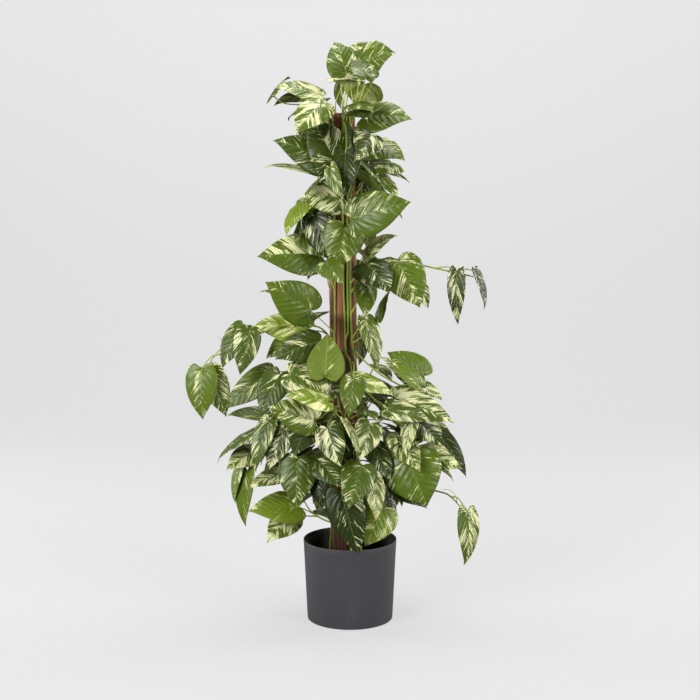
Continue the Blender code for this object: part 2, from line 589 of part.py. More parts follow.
def settle_petiole(leaf, stems, standing):
    for _, owner, node, away in node_choices(leaf, stems):
        for arch in (0.55, 1.1, 0.1):
            route = petiole_route(node, away, leaf, arch)
            start = blend(route[0], route[1], 0.004 / (route[1] - route[0]).length)
            free = [start] + route[1:-1] + [blend(route[-2], route[-1], 0.80)]
            sleeve = tube_shell(free, PETIOLE_RADIUS + PETIOLE_CLEAR)
            if not standing.meets(sleeve, ((owner,),)):
                return owner, route, sleeve
    return None


def tries_in_view(leaf):
    """The same view of the leaf at other depths and turns, the nearest to it first."""
    row = leaf["row"]
    for turn in (0.0, 0.25, -0.25):
        for step in range(27):
            shift = 0.5 * ((step + 1) // 2) * (1 if step % 2 else -1)
            for further in (0.0, 1.5, -1.5):
                changed = list(row)
                changed[4] += shift
                changed[5] += further
                changed[6] += turn
                trial = leaf_in_view(changed)
                trial["phase"] = leaf["phase"]
                yield trial


def inside_outline(leaf):
    for row in range(len(BLADE_STATIONS)):
        for column in (-1, 1):
            point = station_point(leaf, column, row)
            share = -EYE.y / (point.y - EYE.y)
            across = point.x * share / CM
            up = (EYE.z + (point.z - EYE.z) * share) / CM
            if up < OUTLINE[0][0] or up > OUTLINE[-1][0]:
                return False
            for lower, upper in zip(OUTLINE, OUTLINE[1:]):
                if lower[0] <= up <= upper[0]:
                    share = (up - lower[0]) / (upper[0] - lower[0])
                    if not blend(lower[1], upper[1], share) <= across <= blend(lower[2], upper[2],
                                                                             share):
                        return False
    return True


def hides(leaf, seen):
    """Whether the leaf stands before anything that the front view shows."""
    for row in range(len(BLADE_STATIONS)):
        for column in (-1, 0, 1):
            point = station_point(leaf, column, row)
            ray = (point - EYE).normalized()
            for tree in seen:
                if tree.ray_cast(point, ray)[0] is not None:
                    return True
    return False


def tries_by_rule(index, draw, seen):
    """A leaf within or behind the plant: more of them low down, bearings by golden turns."""
    share = (index * 0.6180339) % 1.0
    low = share < LOW_SHARE
    height = blend(0.21, 0.50, share / LOW_SHARE) if low else blend(
        0.68, 1.10, (share - LOW_SHARE) / (1.0 - LOW_SHARE))
    bearing = 62.0 + 236.0 * ((index * 0.7548777) % 1.0)
    for attempt in range(RULE_ATTEMPTS):
        wander = 12.0 + 50.0 * attempt / RULE_ATTEMPTS
        angle = bearing + draw.uniform(-wander, wander)
        level = height + draw.uniform(-0.035, 0.035)
        radius = draw.uniform(0.058, 0.150 if low else 0.115)
        away = outward(angle)
        junction = pole_axis(level) + away * radius
        sink = math.radians(draw.uniform(12.0, 78.0))
        swing = outward(angle + draw.uniform(-45.0, 45.0))
        along = swing * math.cos(sink) - Vector((0.0, 0.0, math.sin(sink)))
        length = draw.uniform(0.082, 0.114) * (1.0 if attempt < RULE_ATTEMPTS / 2 else 0.85)
        face = away * math.sin(sink) + Vector((0.0, 0.0, math.cos(sink) + 0.2))
        face += swing.cross(Vector((0.0, 0.0, 1.0))) * draw.uniform(-0.35, 0.35)
        leaf = leaf_frame(junction, junction + along * length, face)
        leaf["breadth"] = draw.uniform(0.85, 1.02)
        leaf["phase"] = draw.uniform(0.0, math.tau)
        if inside_outline(leaf) and not hides(leaf, seen):
            yield leaf


def arrange():
    """Stem, shoot, petiole and blade of every leaf, each clear of all the others."""
    standing = Standing()
    stems = []
    routes = [[("stem", stem_route(index))] for index in range(len(CLIMBERS))]
    routes[FORK_CLIMBER].append(("fork", fork_route()))
    for shoot in SHOOTS:
        routes[shoot[0]].append(("shoot", shoot_route(shoot)))
    for index, parts in enumerate(routes):
        for kind, route in parts:
            skip = 1 if kind == "shoot" else 0
            standing.add(tube_shell(route[skip:], STEM_RADIUS + 0.0006), (index,))
    def add_nodes(index, route, height, heading):
        while height < route[-1].z - 0.004:
            if min(abs(height - tie) for _, tie in TIE_HEIGHTS) > 0.006:
                stems.append((index, "climb", spot_on(route, height), outward(heading(height))))
            height += 0.010

    for index in range(len(CLIMBERS)):
        add_nodes(index, routes[index][0][1], 0.165, lambda height: bearing_at(index, height))
    add_nodes(FORK_CLIMBER, fork_route(), 0.615, fork_bearing)
    for shoot in SHOOTS:
        route = shoot_route(shoot)
        for here, there in zip(route[2:], route[3:]):
            for share in (0.0, 0.33, 0.66):
                point = here.lerp(there, share)
                away = Vector((point.x, point.y, 0.0)).normalized()
                stems.append((shoot[0], "shoot", point, away))
        stems.append((shoot[0], "shoot", route[-1], (route[-1] - route[-2]).normalized()))
    core = ring_shell([(CANOPY_CORE, 0.15), (CANOPY_CORE, 0.6), (CANOPY_CORE, 1.035),
                       (0.0005, 1.036)], 16, pole_axis)
    pot = ring_shell([(POT_BASE_RADIUS + 0.002, 0.001), (POT_RIM_RADIUS + 0.002, POT_HEIGHT),
                      (POT_RIM_RADIUS, POT_HEIGHT + 0.002),
                      (POT_RIM_RADIUS - POT_WALL - 0.002, POT_HEIGHT),
                      (POT_RIM_RADIUS - 0.01, FILL_TOP + 0.002), (0.001, FILL_TOP + 0.002)],
                     32, lambda height: Vector((0.0, 0.0, height)))
    standing.add(pot, ("pot",))
    bark = ring_shell([(POLE_RADIUS + 0.0005, 0.12), (POLE_RADIUS + 0.0005, 0.6),
                       (POLE_RADIUS + 0.0005, POLE_HEAD.z + 0.001), (0.001, POLE_HEAD.z + 0.002)],
                      20, pole_axis)
    standing.add(bark, ("pole",))
    for name, height in TIE_HEIGHTS:
        ring = [(TIE_RING_RADIUS + TIE_RADIUS + 0.0006, height - 0.002),
                (TIE_RING_RADIUS + TIE_RADIUS + 0.0006, height + 0.002)]
        standing.add(ring_shell(ring, 20, pole_axis), ("tie",))
    placed = []
    lost = []

    def settle(number, trials, blades):
        for trial in trials:
            shape = slab(trial)
            if blades.meets(shape) or standing.meets(shape):
                continue
            found = settle_petiole(trial, stems, standing)
            if found is None:
                continue
            owner, route, tube = found
            standing.add(shape, ("blade", number))
            standing.add(tube, ("petiole", number))
            placed.append({"number": number, "owner": owner, "route": route, "leaf": trial})
            return True
        return False

    near_pole = Standing()
    near_pole.add(core, ("core",))
    for number, row in enumerate(LEAVES_IN_VIEW):
        leaf = leaf_in_view(row)
        leaf["phase"] = (number * 2.4) % math.tau
        if not settle(number, tries_in_view(leaf), near_pole):
            lost.append(number)
    seen = [item[2] for item in standing.items if item[3][0] == "blade"]
    for low, high in BARE_STRETCHES:
        bare = ring_shell([(CANOPY_CORE, low), (CANOPY_CORE, high)], 12, pole_axis)
        seen.append(BVHTree.FromPolygons(*bare))
    draw = random.Random(RULE_SEED)
    for index in range(RULE_LEAVES):
        number = len(LEAVES_IN_VIEW) + index
        if not settle(number, tries_by_rule(index, draw, seen), near_pole):
            lost.append(number)
    return routes, placed, lost


def three_sided_section():
    """The section of every stalk: few sides, because there are so many of them."""
    curve = bpy.data.curves.new("stalk_section", "CURVE")
    curve.dimensions = "2D"
    spline = curve.splines.new("POLY")
    spline.points.add(2)
    for side, spot in enumerate(spline.points):
        angle = math.tau * side / 3.0
        spot.co = (math.cos(angle), math.sin(angle), 0.0, 1.0)
    spline.use_cyclic_u = True
    section = bpy.data.objects.new("stalk_section", curve)
    section.hide_render = True
    section.display_type = "WIRE"
    return section


def tube_mesh(points, radii, name):
    """A stalk with filled caps along a poly curve, made a mesh with its caps welded."""
    section = bpy.data.objects.get("stalk_section") or three_sided_section()
    curve = bpy.data.curves.new(name, "CURVE")
    curve.dimensions = "3D"
    curve.bevel_mode = "OBJECT"
    curve.bevel_object = section
    curve.use_fill_caps = True
    spline = curve.splines.new("POLY")
    spline.points.add(len(points) - 1)
    for spot, point, radius in zip(spline.points, points, radii):
        spot.co = (*point, 1.0)
        spot.radius = radius
    guide = bpy.data.objects.new(name, curve)
    bpy.context.scene.collection.objects.link(guide)
    bpy.context.view_layer.update()
    mesh = bpy.data.meshes.new_from_object(guide.evaluated_get(
        bpy.context.evaluated_depsgraph_get()))
    bpy.data.objects.remove(guide, do_unlink=True)
    bm = bmesh.new()
    bm.from_mesh(mesh)
    bmesh.ops.remove_doubles(bm, verts=bm.verts, dist=0.00005)
    bmesh.ops.recalc_face_normals(bm, faces=bm.faces)
    bm.to_mesh(mesh)
    bm.free()
    return mesh


def blade_object(leaf, name, collection):
    """A grid bent to the blade's stations and thickened downwards."""
    bm = bmesh.new()
    rows = len(BLADE_STATIONS) - 1
    grid = bmesh.ops.create_grid(bm, x_segments=2, y_segments=rows, size=1.0)
    for vert in grid["verts"]:
        column = round(vert.co.x)
        row = round((vert.co.y + 1.0) * 0.5 * rows)
        vert.co = station_point(leaf, column, row)
    bmesh.ops.remove_doubles(bm, verts=bm.verts, dist=0.00005)
    bmesh.ops.triangulate(bm, faces=bm.faces)
    mesh = bpy.data.meshes.new(name)
    bm.to_mesh(mesh)
    bm.free()
    obj = add_object(name, mesh, collection)
    shell = obj.modifiers.new("thickness", "SOLIDIFY")
    shell.thickness = BLADE_THICKNESS
    shell.offset = -1.0
    return obj


def fuse(obj, collection, solver="EXACT"):
    """One union of an object with all that a collection holds, applied."""
    union = obj.modifiers.new("grow_together", "BOOLEAN")
    union.operation = "UNION"
    union.operand_type = "COLLECTION"
    union.collection = collection
    union.solver = solver
    bpy.context.view_layer.update()
    mesh = bpy.data.meshes.new_from_object(obj.evaluated_get(
        bpy.context.evaluated_depsgraph_get()))
    obj.modifiers.clear()
    obj.data = mesh
    for item in list(collection.objects):
        bpy.data.objects.remove(item, do_unlink=True)
    bpy.data.collections.remove(collection)


def cut(obj, cutter_collection):
    hole = obj.modifiers.new("holes", "BOOLEAN")
    hole.operation = "DIFFERENCE"
    hole.operand_type = "COLLECTION"
    hole.collection = cutter_collection
    hole.solver = "EXACT"


def cylinder_between(name, start, end, radius, sides, collection, mat=None):
    bm = bmesh.new()
    axis = end - start
    place = Matrix.Translation((start + end) * 0.5) @ axis.to_track_quat("Z", "Y").to_matrix().to_4x4()
    bmesh.ops.create_cone(bm, cap_ends=True, segments=sides, radius1=radius, radius2=radius,
                          depth=axis.length, matrix=place)
    mesh = bpy.data.meshes.new(name)
    bm.to_mesh(mesh)
    bm.free()
    return add_object(name, mesh, collection, mat)


def build():
    clear_scene()
    scene = bpy.context.scene
    parts = bpy.data.collections.new(NAME)
    scene.collection.children.link(parts)
    cutters = bpy.data.collections.new("cutters")
    scene.collection.children.link(cutters)
    plastic = material("pot_charcoal", (0.060, 0.060, 0.066), 0.62)
    soil = material("fill_dark", (0.012, 0.011, 0.010), 0.95)
    coir = material("coir_fibre", (0.110, 0.032, 0.018), 0.95)
    wood = material("core_wood", (0.420, 0.300, 0.180), 0.80)
    wire = material("tie_wire_green", (0.050, 0.200, 0.090), 0.45)
    foliage = material("pothos_leaf", (0.120, 0.230, 0.040), 0.38)

    turned("pot", (
        (0.0, POT_FLOOR), (POT_BASE_RADIUS - POT_WALL, POT_FLOOR),
        (POT_RIM_RADIUS - POT_WALL, POT_HEIGHT), (POT_RIM_RADIUS, POT_HEIGHT),
        (POT_BASE_RADIUS, 0.0015), (POT_BASE_RADIUS - 0.0015, 0.0), (0.0, 0.0)), 36, parts, plastic)

    slope = (POT_RIM_RADIUS - POT_BASE_RADIUS) / POT_HEIGHT
    inner = POT_BASE_RADIUS - POT_WALL - SEAT_GAP
    fill = turned("potting_fill", (
        (0.0, FILL_TOP), (inner + slope * FILL_TOP - 0.0009, FILL_TOP),
        (inner + slope * POT_FLOOR - 0.0009, POT_FLOOR + SEAT_GAP), (0.0, POT_FLOOR + SEAT_GAP)),
        30, parts, soil)

    sleeve_cut_low = pole_axis(POT_FLOOR - 0.01)
    cylinder_between("pole_hole", sleeve_cut_low, pole_axis(FILL_TOP + 0.02),
                     POLE_RADIUS + SEAT_GAP * 1.6, 28, cutters)
    for index in range(len(CLIMBERS)):
        mouth = climb_point(index, FILL_TOP)
        cylinder_between("stem_hole_%02d" % (index + 1), mouth - Vector((0, 0, STEM_HOLE_DEPTH)),
                         mouth + Vector((0, 0, 0.01)), STEM_HOLE_RADIUS, 5, cutters)
    for item in cutters.objects:
        item.hide_render = True
        item.display_type = "WIRE"
    cut(fill, cutters)

    foot = pole_axis(POT_FLOOR + 0.0012)
    head = POLE_HEAD
    direction = (head - foot).normalized()
    cylinder_between("pole_core", foot, head - direction * CORE_HEAD_COVER, CORE_RADIUS, 16, parts,
                     wood)
    sleeve = cylinder_between("coir_sleeve", foot, head, POLE_RADIUS, 28, parts, coir)
    bore = bpy.data.collections.new("sleeve_cutters")
    scene.collection.children.link(bore)
    bore_tool = cylinder_between("sleeve_bore", foot - direction * 0.01,
                                 head - direction * (CORE_HEAD_COVER - SEAT_GAP),
                                 CORE_RADIUS + SEAT_GAP * 1.6, 16, bore)
    bore_tool.hide_render = True
    bore_tool.display_type = "WIRE"
    cut(sleeve, bore)

    for name, height in TIE_HEIGHTS:
        profile = []
        for side in range(5):
            angle = -math.tau * side / 4.0
            profile.append((TIE_RING_RADIUS + TIE_RADIUS * math.cos(angle),
                            TIE_RADIUS * math.sin(angle)))
        ring = turned("tie_wire_" + name, profile, 22, parts, wire)
        ring.location = pole_axis(height)

    routes, placed, lost = arrange()
    for index, pieces in enumerate(routes):
        bough = bpy.data.collections.new("vine_pieces")
        scene.collection.children.link(bough)
        stem = None
        for kind, route in pieces:
            thin = 0.75 if kind == "shoot" else 1.0
            radii = [STEM_RADIUS * thin] * len(route)
            radii[-1] = STEM_RADIUS * 0.6
            mesh = tube_mesh(route, radii, "vine_%02d" % (index + 1))
            if stem is None:
                stem = add_object("vine_%02d" % (index + 1), mesh, parts)
            else:
                add_object("shoot", mesh, bough)
        for item in placed:
            if item["owner"] != index:
                continue
            route = item["route"]
            radii = [PETIOLE_RADIUS * 0.6] + [PETIOLE_RADIUS] * (len(route) - 2)
            radii.append(PETIOLE_RADIUS * 0.3)
            add_object("petiole", tube_mesh(route, radii, "petiole"), bough)
            blade_object(item["leaf"], "blade", bough)
        fuse(stem, bough)
        stem.data.name = stem.name
        stem.data.materials.clear()
        stem.data.materials.append(foliage)
    return routes, placed, lost


PLANT = build()
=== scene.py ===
"""A variegated pothos on a coir pole: leaves, stalks, coir, pot and fill. Metres, +Z up."""
import math
import random

import bmesh
import bpy
import numpy as np
from mathutils import Matrix, Vector, noise
from mathutils.bvhtree import BVHTree


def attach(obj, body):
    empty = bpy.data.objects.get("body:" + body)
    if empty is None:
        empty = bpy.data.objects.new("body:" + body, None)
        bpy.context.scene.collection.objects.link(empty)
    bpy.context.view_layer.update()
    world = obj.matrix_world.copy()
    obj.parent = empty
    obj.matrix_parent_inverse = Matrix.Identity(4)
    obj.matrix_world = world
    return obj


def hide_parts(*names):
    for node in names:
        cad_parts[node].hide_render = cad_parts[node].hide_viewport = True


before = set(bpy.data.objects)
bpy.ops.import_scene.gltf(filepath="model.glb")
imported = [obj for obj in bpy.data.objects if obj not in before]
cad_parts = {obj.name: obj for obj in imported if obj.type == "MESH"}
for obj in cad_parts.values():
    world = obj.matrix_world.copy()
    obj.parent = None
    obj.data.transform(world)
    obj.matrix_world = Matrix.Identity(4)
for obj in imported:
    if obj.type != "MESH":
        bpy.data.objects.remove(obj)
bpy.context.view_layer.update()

CM = 0.01
SEAT_GAP = 0.0003

POT_HEIGHT = 0.167
POT_RIM_RADIUS = 0.0955
POT_BASE_RADIUS = 0.0878
POT_WALL = 0.0022
POT_FLOOR = 0.004
POT_SLOPE = (POT_RIM_RADIUS - POT_BASE_RADIUS) / POT_HEIGHT
FILL_TOP = 0.110

POLE_FOOT = Vector((-0.0090, 0.0, 0.0060))
POLE_HEAD = Vector((-0.0172, 0.0, 1.0300))
POLE_RADIUS = 0.0272

STEM_RADIUS = 0.0021
STEM_CLIMB_RADIUS = POLE_RADIUS + STEM_RADIUS + 0.0009
STEM_SOIL_RADIUS = 0.037
STEM_SOIL_RISE = 0.075
STEM_SWAY = 2.5
STEM_FIRST_BEND = 0.145
STEM_CLIMB_START = 0.190
STEM_HOLE_DEPTH = 0.036
STEM_TURN_STEP = 16.0
STEM_RISE_STEP = 0.088
PETIOLE_RADIUS = 0.0014
PETIOLE_REACH = (0.022, 0.170)
SHORT_PETIOLE = 0.045
NODE_START = 0.165
NODE_RISE = 0.010
NODE_CHOICES = 70
PETIOLE_ARCHES = (0.55, 1.1, 0.1)
PETIOLE_SEAT = 0.0024

# What a petiole costs from a climbing stem or from a shoot: the reach that it likes best, and
# the weight of swinging round the stem. Then for either: the weights of hanging down and of
# rising, and the rise that costs nothing.
PETIOLE_WISH = {"climb": (0.075, 0.030), "shoot": (0.045, 0.006)}
PETIOLE_SINKS = 0.4
PETIOLE_RISES = 0.15
PETIOLE_FREE_RISE = 0.06

TIE_RADIUS = 0.0007
TIE_RING_RADIUS = STEM_CLIMB_RADIUS + STEM_RADIUS + TIE_RADIUS + 0.0006
TIE_HEIGHTS = (("lower", 0.330), ("middle", 0.5600), ("upper", 0.905))

# The shortest blade.
LEAST_LENGTH = 0.079

# How the leaves of the crown over the pot come forward: by what share, between which
# heights, from which depth on and by how much more, in centimetres.
CROWN_FORWARD = 1.22
CROWN_SPAN = (24.0, 52.0)
CROWN_DEPTH = -6.0
CROWN_STEP = 1.2

# A blade's thickness. Then, as shares of its length, how it bends, folds, drapes and waves,
# how far the waves of one leaf lie from the next one's, and the half breadth at which drape
# and waves are that strong.
BLADE_THICKNESS = 0.0008
BLADE_BEND = 0.07
BLADE_FOLD = 0.10
BLADE_DRAPE = 0.24
BLADE_WAVE = 0.012
WAVE_TURN = 2.4
BLADE_HALF = 0.40

# Room kept above and below a blade, round a petiole and round the pole.
SLAB_ABOVE = 0.0011
SLAB_BELOW = 0.0019
PETIOLE_CLEAR = 0.0009
CANOPY_CORE = 0.0365

# The stations of a leaf blade from its lobes to its tip, as shares of its length:
# where the midrib point lies, and how far out and how far along the margin point lies.
BLADE_STATIONS = (
    (0.000, 0.245, -0.125),
    (0.150, 0.415, 0.150),
    (0.580, 0.325, 0.580),
    (1.000, 0.000, 1.000),
)

# The eye in front of the plant from which the leaves below are placed.
EYE = Vector((0.0, -3.0, 0.988))

# Stems round the pole in order: bearing from the front towards the right in degrees, top
# height, and the heights and angles of its turns to the right on the way down.
TURN_FRONT = ((0.480, 0.340, 100.0),)
TURN_MIDDLE = ((0.585, 0.500, 34.0), (0.480, 0.370, 66.0))
TURN_RIGHT = ((0.480, 0.370, 66.0),)
TURN_BACK = ((0.520, 0.370, 66.0),)
CLIMBERS = (
    (-80, 0.505, TURN_FRONT),
    (-56, 0.530, TURN_FRONT),
    (-32, 1.030, TURN_FRONT),
    (3, 1.052, TURN_MIDDLE),
    (32, 1.040, TURN_MIDDLE),
    (86, 0.510, TURN_RIGHT),
    (104, 0.490, TURN_RIGHT),
    (124, 1.046, TURN_BACK),
    (147, 1.024, ((0.520, 0.370, 58.0),)),
    (172, 1.050, ((0.520, 0.370, 48.0),)),
    (198, 1.030, ((0.520, 0.370, 36.0),)),
    (224, 1.044, ((0.520, 0.370, 24.0),)),
)

# The stem that forks from the fourth and climbs beside it: that one's index, the height of
# the fork and those of its next points, then the bearing and the top.
FORK_CLIMBER = 3
FORK_HEIGHT = 0.572
FORK_BENDS = (0.583, 0.594)
FORK_CLIMB_START = 0.606
FORK_NODE_START = 0.615
FORK_SPREAD_RISE = 0.030
FORK_BEARING = 19.0
FORK_TOP = 1.034

# Shoots that leave the pole: index of the climber, height, then points seen from the
# front as across, up and depth in centimetres.
SHOOTS = (
    (7, 0.700, ((3.6, 73.4, 0.5), (8.5, 74.2, -1.0), (14.3, 73.0, -2.0), (20.0, 71.7, -2.5),
                (25.5, 70.5, -3.0))),
    (11, 0.575, ((-6.0, 60.3, -1.0), (-10.0, 61.0, -2.0), (-14.0, 60.7, -2.5),
                 (-18.0, 59.2, -3.0), (-22.0, 57.3, -3.0), (-26.2, 54.9, -3.0))),
    (4, 0.556, ((2.9, 53.6, -4.6), (6.0, 50.9, -5.6), (9.5, 48.9, -5.8), (13.4, 46.6, -5.0))),
    (3, 0.508, ((2.3, 48.3, -5.0), (5.0, 45.6, -5.6), (7.4, 43.1, -5.6), (10.4, 40.2, -5.0),
                (14.0, 38.8, -3.6))),
    (4, 0.290, ((4.8, 31.2, 1.0), (8.5, 30.4, 1.2), (13.0, 28.5, 1.0), (17.0, 26.8, 0.5),
                (20.2, 25.8, -1.0), (22.7, 23.2, -2.0))),
    (0, 0.440, ((-7.0, 45.2, -1.0), (-11.5, 44.0, 0.0), (-16.0, 42.4, 0.0), (-19.2, 39.4, 0.0),
                (-20.9, 35.6, 0.0), (-21.8, 32.0, 0.0))),
    (0, 0.180, ((-2.2, 19.3, -4.4), (-5.2, 20.5, -4.2), (-8.0, 22.3, -3.8), (-9.4, 24.6, -3.6))),
    (0, 0.240, ((-1.6, 25.2, -4.6), (-4.2, 26.6, -4.6), (-6.0, 29.0, -4.6), (-7.6, 32.4, -4.6))),
)

